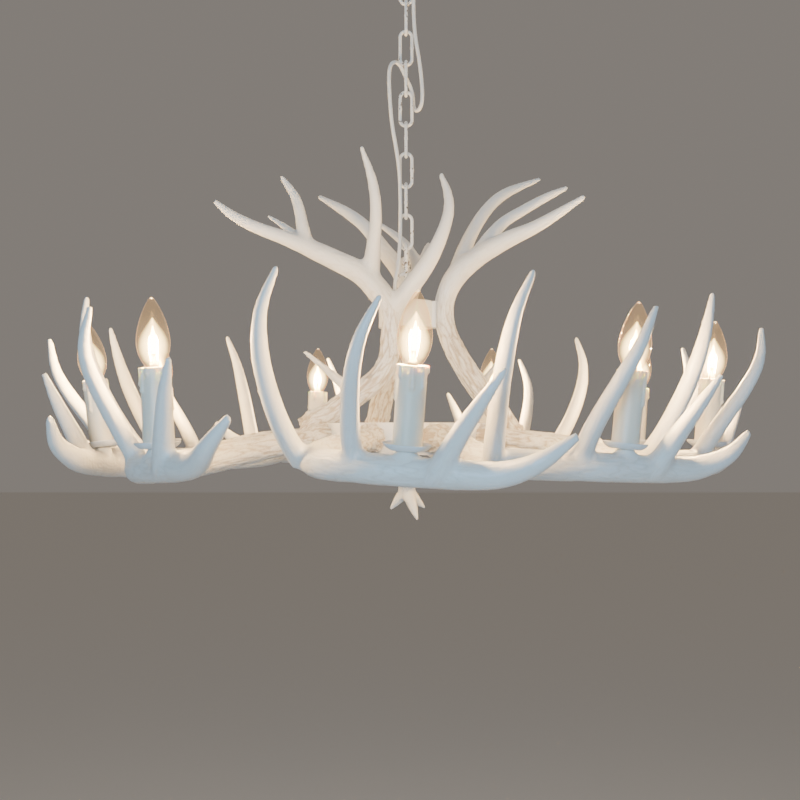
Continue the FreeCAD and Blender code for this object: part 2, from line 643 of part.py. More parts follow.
# Stations from the waist, which bears on a collar tab: right, back, up and radius in millimetres,
# with radii for a trunk of the usual thickness.
UPRIGHTS = [
    {"label": "upright_antler_left", "angle": -114, "trunk": [
        (-105, 11, -152, 19.0), (-95, 6, -141, 17.0), (-76, 2, -132, 16.0), (-50, -2, -112, 15.5),
        (-22, -3, -92, 14.5), (-5, -2, -68, 13.5), (0, 0, -38, 13.0), (0, 0, 0, 14.0),
        (-13, -2, 23, 16.0), (-36, -7, 47, 15.0), (-66, -14, 62, 13.5), (-103, -24, 78, 12.0),
        (-132, -32, 89, 9.5), (-165, -40, 100, 8.0), (-195, -47, 114, 6.5), (-219, -52, 132, 3.6)],
     "tines": [
        [(-25, -5, 50, 12.5), (-21, -18, 86, 9.5), (-18, -32, 121, 8.0), (-22, -44, 158, 6.6),
         (-36, -57, 200, 3.2)],
        [(-106, -24, 80, 10.5), (-111, -22, 104, 8.5), (-120, -19, 141, 6.8), (-140, -16, 172, 3.2)],
        [(-110, -24, 84, 8.0), (-135, -2, 108, 5.0), (-160, 13, 126, 2.8)],
        [(-2, 2, -3, 13.0), (23, -8, 27, 12.5), (47, -16, 59, 11.0), (64, -20, 92, 9.0),
         (74, -20, 124, 7.5), (73, -16, 150, 6.0), (64, -12, 176, 3.6)],
        [(-48, -4, -106, 9.0), (-73, -18, -83, 6.0), (-108, -40, -54, 3.2)]]},
    {"label": "upright_antler_right", "angle": 0, "trunk": [
        (90, -36, -164, 19.0), (82, -32, -153, 17.0), (64, -28, -123, 16.0), (41, -20, -92, 15.5),
        (21, -10, -60, 14.5), (7, -3, -30, 13.5), (0, 0, 0, 13.5), (4, 0, 28, 13.5), (19, -4, 55, 15.0),
        (47, -14, 77, 13.5), (81, -28, 95, 11.5), (113, -40, 108, 9.0), (143, -52, 124, 7.0),
        (178, -64, 145, 3.6)],
     "tines": [
        [(45, -10, 79, 12.0), (75, 0, 119, 8.5), (108, 8, 142, 7.2), (141, 14, 161, 6.0),
         (168, 18, 174, 3.2)],
        [(19, 0, 63, 12.0), (36, 22, 107, 9.6), (59, 40, 146, 8.5), (87, 54, 173, 7.4),
         (137, 70, 197, 3.3)],
        [(49, -18, -102, 9.0), (57, 20, -85, 6.0), (79, 85, -56, 3.2)]]},
    {"label": "upright_antler_back", "angle": 86, "trunk": [
        (-50, 88, -153, 19.0), (-44, 80, -143, 17.0), (-37, 68, -109, 16.0), (-24, 52, -72, 15.5),
        (-10, 30, -33, 14.5), (-1, 4, 0, 13.5), (0, 0, 29, 13.5), (-8, 8, 61, 13.5), (-31, 24, 94, 11.5),
        (-59, 40, 132, 9.5), (-88, 54, 157, 8.0), (-129, 70, 183, 3.6)],
     "tines": [
        [(3, 2, 35, 13.0), (13, 26, 69, 10.0), (5, 52, 97, 8.0), (-12, 74, 122, 6.5),
         (-50, 100, 154, 3.2)],
        [(10, 16, 58, 10.0), (22, 58, 89, 8.0), (28, 98, 111, 6.0), (31, 138, 126, 3.2)],
        [(-31, 60, -97, 9.0), (-23, 88, -82, 6.0), (-8, 133, -59, 3.2)]]}]
PLAN_TRUNK = 27.0       # the trunk thickness, reach, drop and hoop for which the stations are given
PLAN_REACH = 200.0
PLAN_DROP = 163.5
PLAN_HOOP = 116.5
PLAN_SPREAD = 130.0     # depth below the waist at which a trunk follows the hoop in full


def upright_antler(plan, neighbours):
    """One upright antler, flat where it bears on its tab and hollowed where it rests on the ring."""
    girth = mm("trunk_thickness") / PLAN_TRUNK
    reach = mm("upright_reach") / PLAN_REACH
    drop = (collar_middle - hoop_middle) / PLAN_DROP
    spread = mm("hoop_radius") / PLAN_HOOP - 1
    out = tab_direction(plan["angle"])
    waist = out * (mm("tab_reach") + mm("trunk_thickness") * 0.37) + UP * collar_middle

    def stations(rows):
        placed = []
        for x, y, z, radius in rows:
            if z > 0:
                spot = waist + FreeCAD.Vector(x, y, z) * reach
            else:
                wider = 1 + spread * min(1, -z / PLAN_SPREAD)
                spot = FreeCAD.Vector((waist.x + x) * wider, (waist.y + y) * wider, waist.z + z * drop)
            placed.append((spot.x, spot.y, spot.z, radius * girth))
        return placed
    limbs = [limb(stations(plan["trunk"]), BEAM_SIDES)]
    limbs += [limb(stations(rows), TINE_SIDES) for rows in plan["tines"]]
    whole = fused(limbs)
    seat = Part.makeBox(mm("tab_reach"), 3 * mm("tab_width"), 2 * mm("collar_height"))
    seat.translate(FreeCAD.Vector(0, -1.5 * mm("tab_width"), collar_middle - mm("collar_height")))
    seat.rotate(FreeCAD.Vector(), UP, plan["angle"])
    return largest(whole.cut([seat, hoop_space()] + neighbours))


# ---------------------------------------------------------------- candles


def bulge(radius, height, widest, level, steps):
    """Outline corners on an arc from a narrow place to the widest one, where it runs upright."""
    spread, rise = widest.value - radius.value, level.value - height.value
    arc = (spread ** 2 + rise ** 2) / (2 * spread)
    corners = []
    for step in range(1, steps + 1):
        away = rise * (1 - step / steps)
        corners.append((widest.value - arc + math.sqrt(arc ** 2 - away ** 2), level.value - away))
    return corners


def candle_outlines():
    """The outlines of a candle's turned pieces, along the candle's own axis from its seat."""
    wall = size["pan_wall"]
    pan = [(0, 0), (size["pan_floor_radius"], 0), (size["pan_radius"], size["pan_height"]),
           (size["pan_floor_radius"], wall), (0, wall)]
    top = wall + size["sleeve_height"]
    sleeve = [(size["sleeve_radius"] - size["sleeve_wall"], wall), (size["sleeve_radius"], wall),
              (size["sleeve_radius"], top), (size["sleeve_radius"] - size["sleeve_wall"], top)]
    bore = size["cap_radius"] + size["cap_gap"]
    rim = top - size["holder_drop"]
    bottom = top - size["cap_height"] - size["cap_gap"]
    holder = [(0, wall), (size["holder_radius"], wall), (size["holder_radius"], rim), (bore, rim),
              (bore, bottom), (0, bottom)]
    cap = [(0, top - size["cap_height"]), (size["cap_radius"], top - size["cap_height"]),
           (size["cap_radius"], top), (0, top)]
    belly, shoulder = top + size["bulb_belly"], top + size["bulb_height"] - size["bulb_tip"]
    glass = [(0, top), (size["bulb_neck"], top)]
    glass += bulge(size["bulb_neck"], top, size["bulb_radius"], belly, 2)
    glass += reversed(bulge(size["bulb_tip_radius"], shoulder, size["bulb_radius"], belly, 3)[:-1])
    glass += [(size["bulb_tip_radius"], shoulder), (0, top + size["bulb_height"])]
    return {"pan": pan, "sleeve": sleeve, "holder": holder, "cap": cap, "glass": glass}


def make_candles():
    """Nine candles: a drip pan, sleeve and lamp holder on each antler, and a lamp in each holder."""
    outlines = candle_outlines()
    pans, holders = [], []
    for number in range(CANDLES):
        frame = candle_frame(number)
        forms = {kind: prism(outline, LAMP_SIDES if kind in ("holder", "cap") else CANDLE_SIDES)
                 for kind, outline in outlines.items()}
        pans.append(freeform("DripPan%d" % number, forms["pan"], frame))
        holders.append(freeform("LampHolder%d" % number, forms["holder"], frame))
        for kind, label in (("sleeve", "candle_sleeve"), ("cap", "bulb_cap"), ("glass", "bulb_glass")):
            label = "%s_%d" % (label, number + 1)
            node(freeform(label, forms[kind], frame), label)
    node(joined("Compound", "DripPans", Links=pans), "drip_pans")
    node(joined("Compound", "LampHolders", Links=holders), "lamp_holders")


# ---------------------------------------------------------------- cord

# The cord's route, right, back and above its lower grommet: up beside the chain from the collar,
# over and through a link's window, round a slack loop and up to the canopy.
CORD_ROUTE = [(-15, -15, 0), (-15, -15, 18.1), (-10, -10, 44.1), (-7.5, -8, 82.1), (-7.5, -7.5, 130.1),
              (-8.5, -8, 168.1), (-13, -12, 198.1), (-19, -17, 230.1), (-21.5, -20.5, 262.1),
              (-22.5, -22, 284.1), (-22.2, -22, 298.6), (-19.5, -19.4, 308.5), (-13, -12.8, 313.1),
              (-7, -5.6, 309.5), (0, -0.3, 295.1), (7.2, 5, 282.1), (9.6, 9.6, 270.6),
              (10, 10.6, 259.1), (13.2, 4.4, 251.7), (18, -4.5, 251.7), (21.3, -10.8, 259.1),
              (21.6, -11, 278.1), (18, -9.5, 314.1), (11.5, -9, 350.1), (9.5, -9, 390.1),
              (10.5, -9.5, 422.1), (18, -14, 446.1), (18, -14, 468.1)]
CORD_RUN = 0.45         # share of the shorter run that the arc at a corner takes from it
ARC_STEP = 24.0         # largest turn between two rings of the tube's facets, in degrees


def cord_corners():
    """The corner points of the cord, stretched to reach from one grommet to the other."""
    low = collar_top + mm("grommet_height")
    high = -mm("canopy_height") - mm("grommet_height")
    stretch = (high - low) / CORD_ROUTE[-1][2]
    return [FreeCAD.Vector(x, y, low + z * stretch) for x, y, z in CORD_ROUTE]


def cord_line(corners):
    """Points with directions along straight runs and the tangent arcs between them."""
    along = (corners[1] - corners[0]).normalize()
    line = [(corners[0], along)]
    for before, corner, after in zip(corners, corners[1:], corners[2:]):
        leave = (after - corner).normalize()
        turn = along.getAngle(leave)
        cut = CORD_RUN * min((corner - before).Length, (after - corner).Length)
        radius = cut / math.tan(turn / 2)
        print("cord corner %s: arc radius %.1f" % (tuple(round(v, 1) for v in corner), radius))
        inward = (leave - along * leave.dot(along)).normalize()
        start = corner - along * cut
        steps = max(1, math.ceil(math.degrees(turn) / ARC_STEP))
        for step in range(steps + 1):
            a = turn * step / steps
            spot = start + along * (radius * math.sin(a)) + inward * (radius * (1 - math.cos(a)))
            line.append((spot, along * math.cos(a) + inward * math.sin(a)))
        along = leave
    line.append((corners[-1], along))
    return line


def make_cord():
    """The lamp cord as a tube of straight runs and tangent arcs, and its two grommets."""
    line = cord_line(cord_corners())
    radius = mm("cord_diameter") / 2
    across = line[0][1].cross(FreeCAD.Vector(0, 1, 0)).normalize()
    rings = []
    for spot, along in line:
        across = (across - along * across.dot(along)).normalize()
        over = along.cross(across)
        turns = [2 * math.pi * k / TINE_SIDES for k in range(TINE_SIDES)]
        rings.append([spot + (across * math.cos(a) + over * math.sin(a)) * radius for a in turns])
    tube = sewn(skin(rings, False) + [facet(*reversed(rings[0])), facet(*rings[-1])])
    length = sum((b[0] - a[0]).Length for a, b in zip(line, line[1:]))
    section = TINE_SIDES / 2 * radius ** 2 * math.sin(2 * math.pi / TINE_SIDES)
    print("cord length %.1f, volume %.1f, section by length %.1f" % (length, tube.Volume, section * length))
    node(freeform("LampCord", tube), "lamp_cord")
    for label, end, base in (("collar_grommet", line[0][0], collar_top),
                             ("canopy_grommet", line[-1][0], line[-1][0].z)):
        node(solid_of("Prism", label, {"Circumradius": size["grommet_radius"],
                                       "Height": size["grommet_height"]}, at(end.x, end.y, base)), label)


# ---------------------------------------------------------------- the whole part

TAB_ANGLES = [plan["angle"] for plan in UPRIGHTS]
make_crossbar()
make_canopy()
make_canopy_loop()
make_chain()
make_top_loop()
make_collar(TAB_ANGLES)
make_centre()
make_finial()
ring = [ring_antler(number) for number in range(CANDLES)]
for number, shape in enumerate(ring):
    node(freeform("RingAntler%d" % number, shape), "ring_antler_%d" % (number + 1))
for plan in UPRIGHTS:
    node(freeform(plan["label"], upright_antler(plan, ring)), plan["label"])
make_candles()
make_cord()

document.recompute()
for item in document.Objects:
    if "Invalid" in item.State or "Error" in item.State:
        raise RuntimeError("failed: " + item.Label)
os.makedirs("parts", exist_ok=True)
for piece in nodes:
    shape = piece.Shape
    if shape.isNull() or not shape.isValid():
        raise RuntimeError("bad shape: " + piece.Label)
    shape.exportStep("parts/" + piece.Label + ".step")
print(len(nodes), "sub-parts")
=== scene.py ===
import math

import bmesh
import bpy
import numpy as np
from bpy.props import FloatProperty, PointerProperty, StringProperty
from mathutils import Matrix, Vector, kdtree, noise


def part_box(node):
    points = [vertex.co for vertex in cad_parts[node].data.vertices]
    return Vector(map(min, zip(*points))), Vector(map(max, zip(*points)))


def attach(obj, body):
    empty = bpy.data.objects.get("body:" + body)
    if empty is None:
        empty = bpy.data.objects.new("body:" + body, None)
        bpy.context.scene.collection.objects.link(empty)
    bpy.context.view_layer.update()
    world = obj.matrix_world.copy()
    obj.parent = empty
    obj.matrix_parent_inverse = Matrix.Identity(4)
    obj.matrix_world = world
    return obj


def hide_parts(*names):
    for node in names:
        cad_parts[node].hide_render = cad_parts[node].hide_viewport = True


bl_info = {
    "name": "Antler Chandelier",
    "version": (1, 0, 0),
    "blender": (4, 5, 0),
    "location": "View3D > Sidebar > Chandelier",
    "description": "Dresses the antler chandelier: cast antlers, dripping candles, lamps and chain",
    "category": "Add Mesh",
}

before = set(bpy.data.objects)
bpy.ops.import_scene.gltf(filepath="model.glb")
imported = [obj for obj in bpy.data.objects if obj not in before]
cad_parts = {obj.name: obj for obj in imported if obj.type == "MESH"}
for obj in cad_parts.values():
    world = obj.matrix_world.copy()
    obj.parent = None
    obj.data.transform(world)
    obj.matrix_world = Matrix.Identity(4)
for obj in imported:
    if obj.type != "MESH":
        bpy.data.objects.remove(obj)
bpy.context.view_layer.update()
MM = 0.001


def middle(node):
    """The middle of a CAD node's box, in metres."""
    low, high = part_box(node)
    return (Vector(low) + Vector(high)) / 2


def span(node, axis):
    """The width of a CAD node's box along an axis, in metres."""
    low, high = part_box(node)
    return high[axis] - low[axis]


# ---- real sizes, in millimetres

CANDLES = 9
HOOP_LEVEL = middle("hoop").z / MM
HOOP_RADIUS = span("hoop", 0) / 2 / MM
HOOP_WALL = 4.0
CANDLE_CIRCLE = 404.4
SEAT_DROP = 10.0
CANDLE_LEAN = 5.0
COLLAR_LEVEL = middle("upper_collar").z / MM
COLLAR_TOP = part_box("upper_collar")[1][2] / MM
COLLAR_HEIGHT = span("upper_collar", 2) / MM
COLLAR_RADIUS = 36.0
TAB_REACH = 40.0
TAB_WIDTH = 22.0
TAB_DEPTH = 6.8
TRUNK_STAND_OFF = 10.0
ROD_RADIUS = 5.0
SLEEVE_HEIGHT = 83.0
SLEEVE_RADIUS = 15.0
SLEEVE_WALL = 1.6
DRIPS = 8
PAN_FLOOR = 2.2
GLASS_HEIGHT = 74.0
GLASS_BELLY = 28.0      # height of the lamp's widest place
GLASS_RADIUS = 17.75
NECK_RADIUS = 8.0
COIL_HEIGHT = 26.0
COIL_RADIUS = 6.0       # of the light that stands for the coil
LINKS = 8               # welded links below the top one
LINK_WIRE = 4.3
LINK_WIDTH = 20.0
LINK_PITCH = 41.0
LINK_WELD = 0.16        # swelling at a weld, as a share of the wire
LOOP_WIDTH = 34.0       # canopy loop and top loop
LOOP_WIRE = 5.0         # also the quick link's
QUICK_LINK_WIDTH = 22.0
NUT_RADIUS = 5.4
NUT_LENGTH = 13.0
CANOPY_BOTTOM = -30.0
EYE_LEVEL = HOOP_LEVEL + 7.0
EYE_SIDE = -8.0
EYE_DISTANCE = 1520.0
EYE_PITCH = 1.65        # degrees up
EYE_LENS = 51.75
FLOOR_LEVEL = -2300.0

# One mould for all the ring antlers. Each station: share of the way from the hoop to the candle
# circle, sideways, height above the middle of the hoop, and thickness as a share.
BEAM_THICKNESS = 33.0
TINE_THICKNESS = 21.0
RING_BEAM = [(-0.06, -44, 0, 1.15), (0.03, -47, 0, 1.15), (0.07, -50, -2, 0.94), (0.29, -70, -9, 0.94),
             (0.60, -100, -26, 1.0), (0.79, -92, -31, 1.03), (0.95, -50, -31, 1.0), (1.01, 5, -31, 0.97),
             (1.05, 50, -30, 0.94), (1.09, 95, -26, 0.82), (1.14, 130, -10, 0.6), (1.15, 163, 17, 0.28)]
RING_TINES = [
    [(0.70, -112, -33, 1.25), (0.78, -132, -1, 1.1), (0.86, -149, 43, 1.0), (0.92, -158, 85, 0.9),
     (0.96, -157, 124, 0.68), (0.99, -143, 165, 0.36)],
    [(0.93, -52, -30, 1.15), (1.03, -58, 13, 1.0), (1.15, -57, 62, 0.84), (1.21, -50, 97, 0.66),
     (1.226, -34, 136, 0.35)],
    [(1.05, 30, -33, 1.3), (1.11, 50, 9, 1.0), (1.16, 69, 43, 0.74), (1.20, 89, 76, 0.36)]]
# How each casting sits: (turn, further out, roll, pitch), degrees and millimetres, from the front.
STANCES = [(-1.5, -28, -4.1, -0.6), (-1.3, -39, -3.1, 0.0), (0.4, -20, -1.3, 0.4), (0.9, -9, 0.0, -0.1),
           (0.6, -6, 1.3, -1.3), (1.6, 25, 1.9, 2.3), (0.5, 12, 0.5, -0.4), (-0.3, -15, 3.7, -2.5),
           (-0.9, 3, 0.9, 2.3)]
STANCE_PIVOT = 0.93

# Stations of the upright antlers from the waist: right, back, up and radius.
UPRIGHTS = [
    {"label": "upright_antler_left", "angle": -114, "trunk": [
        (-105, 11, -152, 19.0), (-95, 6, -141, 17.0), (-76, 2, -132, 16.0), (-50, -2, -112, 15.5),
        (-22, -3, -92, 14.5), (-5, -2, -68, 13.5), (0, 0, -38, 13.0), (0, 0, 0, 14.0),
        (-13, -2, 23, 16.0), (-36, -7, 47, 15.0), (-66, -14, 62, 13.5), (-103, -24, 78, 12.0),
        (-132, -32, 89, 9.5), (-165, -40, 100, 8.0), (-195, -47, 114, 6.5), (-219, -52, 132, 3.6)],
     "tines": [
        [(-25, -5, 50, 12.5), (-21, -18, 86, 9.5), (-18, -32, 121, 8.0), (-22, -44, 158, 6.6),
         (-36, -57, 200, 3.2)],
        [(-106, -24, 80, 10.5), (-111, -22, 104, 8.5), (-120, -19, 141, 6.8), (-140, -16, 172, 3.2)],
        [(-110, -24, 84, 8.0), (-135, -2, 108, 5.0), (-160, 13, 126, 2.8)],
        [(-2, 2, -3, 13.0), (23, -8, 27, 12.5), (47, -16, 59, 11.0), (64, -20, 92, 9.0),
         (74, -20, 124, 7.5), (73, -16, 150, 6.0), (64, -12, 176, 3.6)],
        [(-48, -4, -106, 9.0), (-73, -18, -83, 6.0), (-108, -40, -54, 3.2)]]},
    {"label": "upright_antler_right", "angle": 0, "trunk": [
        (90, -36, -164, 19.0), (82, -32, -153, 17.0), (64, -28, -123, 16.0), (41, -20, -92, 15.5),
        (21, -10, -60, 14.5), (7, -3, -30, 13.5), (0, 0, 0, 13.5), (4, 0, 28, 13.5), (19, -4, 55, 15.0),
        (47, -14, 77, 13.5), (81, -28, 95, 11.5), (113, -40, 108, 9.0), (143, -52, 124, 7.0),
        (178, -64, 145, 3.6)],
     "tines": [
        [(45, -10, 79, 12.0), (75, 0, 119, 8.5), (108, 8, 142, 7.2), (141, 14, 161, 6.0),
         (168, 18, 174, 3.2)],
        [(19, 0, 63, 12.0), (36, 22, 107, 9.6), (59, 40, 146, 8.5), (87, 54, 173, 7.4),
         (137, 70, 197, 3.3)],
        [(49, -18, -102, 9.0), (57, 20, -85, 6.0), (79, 85, -56, 3.2)]]},
    {"label": "upright_antler_back", "angle": 86, "trunk": [
        (-50, 88, -153, 19.0), (-44, 80, -143, 17.0), (-37, 68, -109, 16.0), (-24, 52, -72, 15.5),
        (-10, 30, -33, 14.5), (-1, 4, 0, 13.5), (0, 0, 29, 13.5), (-8, 8, 61, 13.5), (-31, 24, 94, 11.5),
        (-59, 40, 132, 9.5), (-88, 54, 157, 8.0), (-129, 70, 183, 3.6)],
     "tines": [
        [(3, 2, 35, 13.0), (13, 26, 69, 10.0), (5, 52, 97, 8.0), (-12, 74, 122, 6.5),
         (-50, 100, 154, 3.2)],
        [(10, 16, 58, 10.0), (22, 58, 89, 8.0), (28, 98, 111, 6.0), (31, 138, 126, 3.2)],
        [(-31, 60, -97, 9.0), (-23, 88, -82, 6.0), (-8, 133, -59, 3.2)]]}]

# The lamp cord's route: right, back and above its lower grommet.
CORD_ROUTE = [(-15, -15, 0), (-15, -15, 18.1), (-10, -10, 44.1), (-7.5, -8, 82.1), (-7.5, -7.5, 130.1),
              (-8.5, -8, 168.1), (-13, -12, 198.1), (-19, -17, 230.1), (-21.5, -20.5, 262.1),
              (-22.5, -22, 284.1), (-22.2, -22, 298.6), (-19.5, -19.4, 308.5), (-13, -12.8, 313.1),
              (-7, -5.6, 309.5), (0, -0.3, 295.1), (7.2, 5, 282.1), (9.6, 9.6, 270.6),
              (10, 10.6, 259.1), (13.2, 4.4, 251.7), (18, -4.5, 251.7), (21.3, -10.8, 259.1),
              (21.6, -11, 278.1), (18, -9.5, 314.1), (11.5, -9, 350.1), (9.5, -9, 390.1),
              (10.5, -9.5, 422.1), (18, -14, 446.1), (18, -14, 468.1)]
CORD_DIAMETER = 5.0

FORK_ROUNDS = 26        # extra rounds of smoothing in the forks of a casting
FORK_SPREAD = 0.9       # how far round a fork they reach, in radii of its limbs
LIMB_SIDES = 20
LIMB_STEP = 4.0
SKIN_VOXEL = 2.5
GRAIN_STRETCH = 5.5     # how much longer than wide the grain is
FISSURE = 2.2           # how narrow its cuts are
KNOB_SIZE = 7.5


# ---- materials


def linear(code):
    """An sRGB hex colour as linear red, green, blue and alpha."""
    parts = [int(code[i:i + 2], 16) / 255 for i in (1, 3, 5)]
    return tuple(c / 12.92 if c <= 0.04045 else ((c + 0.055) / 1.055) ** 2.4 for c in parts) + (1.0,)


def add(look, kind, settings, links=()):
    """Adds a node with its settings, and links (its input, another node, that node's output)."""
    item = look.node_tree.nodes.new("ShaderNode" + kind)
    for field, value in settings.items():
        if isinstance(field, int) or field in item.inputs:
            item.inputs[field].default_value = value
        else:
            setattr(item, field, value)
    for field, other, output in links:
        look.node_tree.links.new(other.outputs[output], item.inputs[field])
    return item


def blank(name):
    """A new material without nodes."""
    look = bpy.data.materials.new(name)
    look.use_nodes = True
    look.node_tree.nodes.clear()
    return look


def finish(look, shader):
    """Links a shader to a new output node of the material."""
    add(look, "OutputMaterial", {}, [("Surface", shader, 0)])
    return look


def cast_resin():
    """White painted cast resin: a satin off-white coat, thin on ridges, with painted shade greying the
    cuts of the grain.
    """
    colours = bpy.context.scene.chandelier_colours
    look = blank("painted_cast_resin")
    here = [("Vector", add(look, "TexCoord", {}), "Object")]
    cuts = add(look, "Attribute", {"attribute_name": "cut", "attribute_type": "GEOMETRY"})
    # hand-sprayed paint varies over about 60 mm
    cloud = add(look, "TexNoise", {"Scale": 1000 / 60, "Detail": 4.0}, here)
    tone = add(look, "Mix", {"data_type": "RGBA", 6: linear(colours.resin), 7: linear(colours.resin_warm)},
               [("Factor", cloud, "Fac")])
    # painted shade: the cuts of the grain are darkened toward the cut colour, as though in shadow
    painted_cut_shade = add(look, "Mix", {"data_type": "RGBA", 7: linear(colours.resin_cut_shade)},
               [("Factor", cuts, "Fac"), (6, tone, 2)])
    # brush and spray texture of the paint, about 1.6 mm
    grain = add(look, "TexNoise", {"Scale": 1000 / 1.6, "Detail": 3.0, "Roughness": 0.6}, here)
    rough = add(look, "MapRange", {"To Min": 0.38, "To Max": 0.52}, [("Value", grain, "Fac")])
    bump = add(look, "Bump", {"Strength": 0.12, "Distance": 0.0004}, [("Height", grain, "Fac")])
    shader = add(look, "BsdfPrincipled",
                 {"IOR": 1.49, "Coat Weight": 0.15, "Coat Roughness": 0.3},
                 [("Base Color", painted_cut_shade, 2), ("Roughness", rough, "Result"), ("Normal", bump, "Normal")])
    return finish(look, shader)


def painted_iron(name, chips):
    """White painted iron wire and sheet: satin paint, chipped to brown metal where links rub."""
    colours = bpy.context.scene.chandelier_colours
    look = blank(name)
    here = [("Vector", add(look, "TexCoord", {}), "Object")]
    # chips of one to three millimetres
    spots = add(look, "TexNoise", {"Scale": 1000 / 5.0, "Detail": 5.0, "Roughness": 0.65}, here)
    chip = add(look, "MapRange", {"From Min": chips, "From Max": chips + 0.03}, [("Value", spots, "Fac")])
    tone = add(look, "Mix", {"data_type": "RGBA", 6: linear(colours.iron), 7: linear(colours.chip)},
               [("Factor", chip, "Result")])
    fine = add(look, "TexNoise", {"Scale": 1000 / 1.2, "Detail": 2.0}, here)
    rough = add(look, "MapRange", {"To Min": 0.3, "To Max": 0.5}, [("Value", fine, "Fac")])
    height = add(look, "Math", {"operation": "SUBTRACT"}, [(0, fine, "Fac"), (1, chip, "Result")])
    bump = add(look, "Bump", {"Strength": 0.25, "Distance": 0.0003}, [("Height", height, "Value")])
    shader = add(look, "BsdfPrincipled", {"IOR": 1.5},
                 [("Base Color", tone, 2), ("Roughness", rough, "Result"), ("Normal", bump, "Normal")])
    return finish(look, shader)


def moulded_plastic(name, colour, roughness, pattern=2.0, scatter=0.0):
    """Moulded thermoplastic with a faint orange peel and slightly uneven tone."""
    look = blank(name)
    here = [("Vector", add(look, "TexCoord", {}), "Object")]
    peel = add(look, "TexNoise", {"Scale": 1000 / pattern, "Detail": 2.0}, here)
    cloud = add(look, "TexNoise", {"Scale": 1000 / 25, "Detail": 3.0}, here)
    light = linear(colour)
    dark = tuple(c * 0.9 for c in light[:3]) + (1.0,)
    tone = add(look, "Mix", {"data_type": "RGBA", 6: light, 7: dark}, [("Factor", cloud, "Fac")])
    bump = add(look, "Bump", {"Strength": 0.08, "Distance": 0.0003}, [("Height", peel, "Fac")])
    shader = add(look, "BsdfPrincipled",
                 {"Roughness": roughness, "IOR": 1.5, "Subsurface Weight": scatter,
                  "Subsurface Scale": 0.006, "Subsurface Radius": (1.0, 0.75, 0.5)},
                 [("Base Color", tone, 2), ("Normal", bump, "Normal")])
    return finish(look, shader)


def bare_metal(name, colour, roughness):
    """Plated or drawn metal with fine turning marks."""
    look = blank(name)
    here = [("Vector", add(look, "TexCoord", {}), "Object")]
    marks = add(look, "TexNoise", {"Scale": 1000 / 0.8, "Detail": 2.0}, here)
    rough = add(look, "MapRange", {"To Min": roughness - 0.06, "To Max": roughness + 0.1},
                [("Value", marks, "Fac")])
    shader = add(look, "BsdfPrincipled", {"Base Color": linear(colour), "Metallic": 1.0},
                 [("Roughness", rough, "Result")])
    return finish(look, shader)


def lamp_glass():
    """Clear blown soda glass of a lit lamp: see-through, with a painted golden glow at its rim, a glow low
    down and a painted highlight at the tip.
    """
    look = blank("blown_lamp_glass")
    clear = add(look, "BsdfTransparent", {"Color": linear("#FFF7E8")})
    gloss = add(look, "BsdfGlossy", {"Color": linear("#FFF1DA"), "Roughness": 0.04})
    facing = add(look, "LayerWeight", {"Blend": 0.5})
    edge = add(look, "Math", {"operation": "POWER", 1: 3.0}, [(0, facing, "Facing")])
    share = add(look, "Math", {"operation": "MULTIPLY_ADD", 1: 0.3, 2: 0.04}, [(0, edge, "Value")])
    mirror = add(look, "MixShader", {}, [("Fac", share, "Value"), (1, clear, "BSDF"), (2, gloss, "BSDF")])
    # the glow on the glass is stronger low down, beside the coil
    level = add(look, "Attribute", {"attribute_name": "level"})
    low = add(look, "MapRange",
              {"From Min": 0.35, "From Max": 0.8, "To Min": 1.8, "To Max": 0.8}, [("Value", level, "Fac")])
    # painted glow: the glass is lit golden toward its rim, with a faint veil of it all over
    rim = add(look, "Math", {"operation": "POWER", 1: 12.0}, [(0, facing, "Facing")])
    veil = add(look, "Math", {"operation": "MULTIPLY_ADD", 1: 1.6, 2: 0.13}, [(0, rim, "Value")])
    glow = add(look, "Math", {"operation": "MULTIPLY"}, [(0, veil, "Value"), (1, low, "Result")])
    # painted highlight where the drawn tip catches the light
    tip_highlight = add(look, "MapRange", {"From Min": 0.972, "From Max": 0.992, "To Max": 3.0},
               [("Value", level, "Fac")])
    total = add(look, "Math", {"operation": "ADD"}, [(0, glow, "Value"), (1, tip_highlight, "Result")])
    light = add(look, "Emission", {"Color": linear("#FFC88C")}, [("Strength", total, "Value")])
    both = add(look, "AddShader", {}, [(0, mirror, "Shader"), (1, light, "Emission")])
    return finish(look, both)


def lamp_glare():
    """The dazzle round the lit coil: light that adds to what is behind it and fades to its rim."""
    look = blank("lamp_glare")
    clear = add(look, "BsdfTransparent", {})
    facing = add(look, "LayerWeight", {"Blend": 0.5})
    centre = add(look, "Math", {"operation": "SUBTRACT", 0: 1.0}, [(1, facing, "Facing")])
    falloff = add(look, "Math", {"operation": "POWER", 1: 3.0}, [(0, centre, "Value")])
    strength = add(look, "Math",
                   {"operation": "MULTIPLY", 1: bpy.context.scene.chandelier_sizes.glare},
                   [(0, falloff, "Value")])
    light = add(look, "Emission", {"Color": linear("#FFDD94")}, [("Strength", strength, "Value")])
    both = add(look, "AddShader", {}, [(0, clear, "BSDF"), (1, light, "Emission")])
    return finish(look, both)


def lamp_coil():
    """A glowing tungsten coil: light alone."""
    look = blank("tungsten_coil")
    glow = bpy.context.scene.chandelier_sizes.glow
    shader = add(look, "Emission", {"Color": linear("#FFC773"), "Strength": glow})
    return finish(look, shader)


MATERIALS = {}


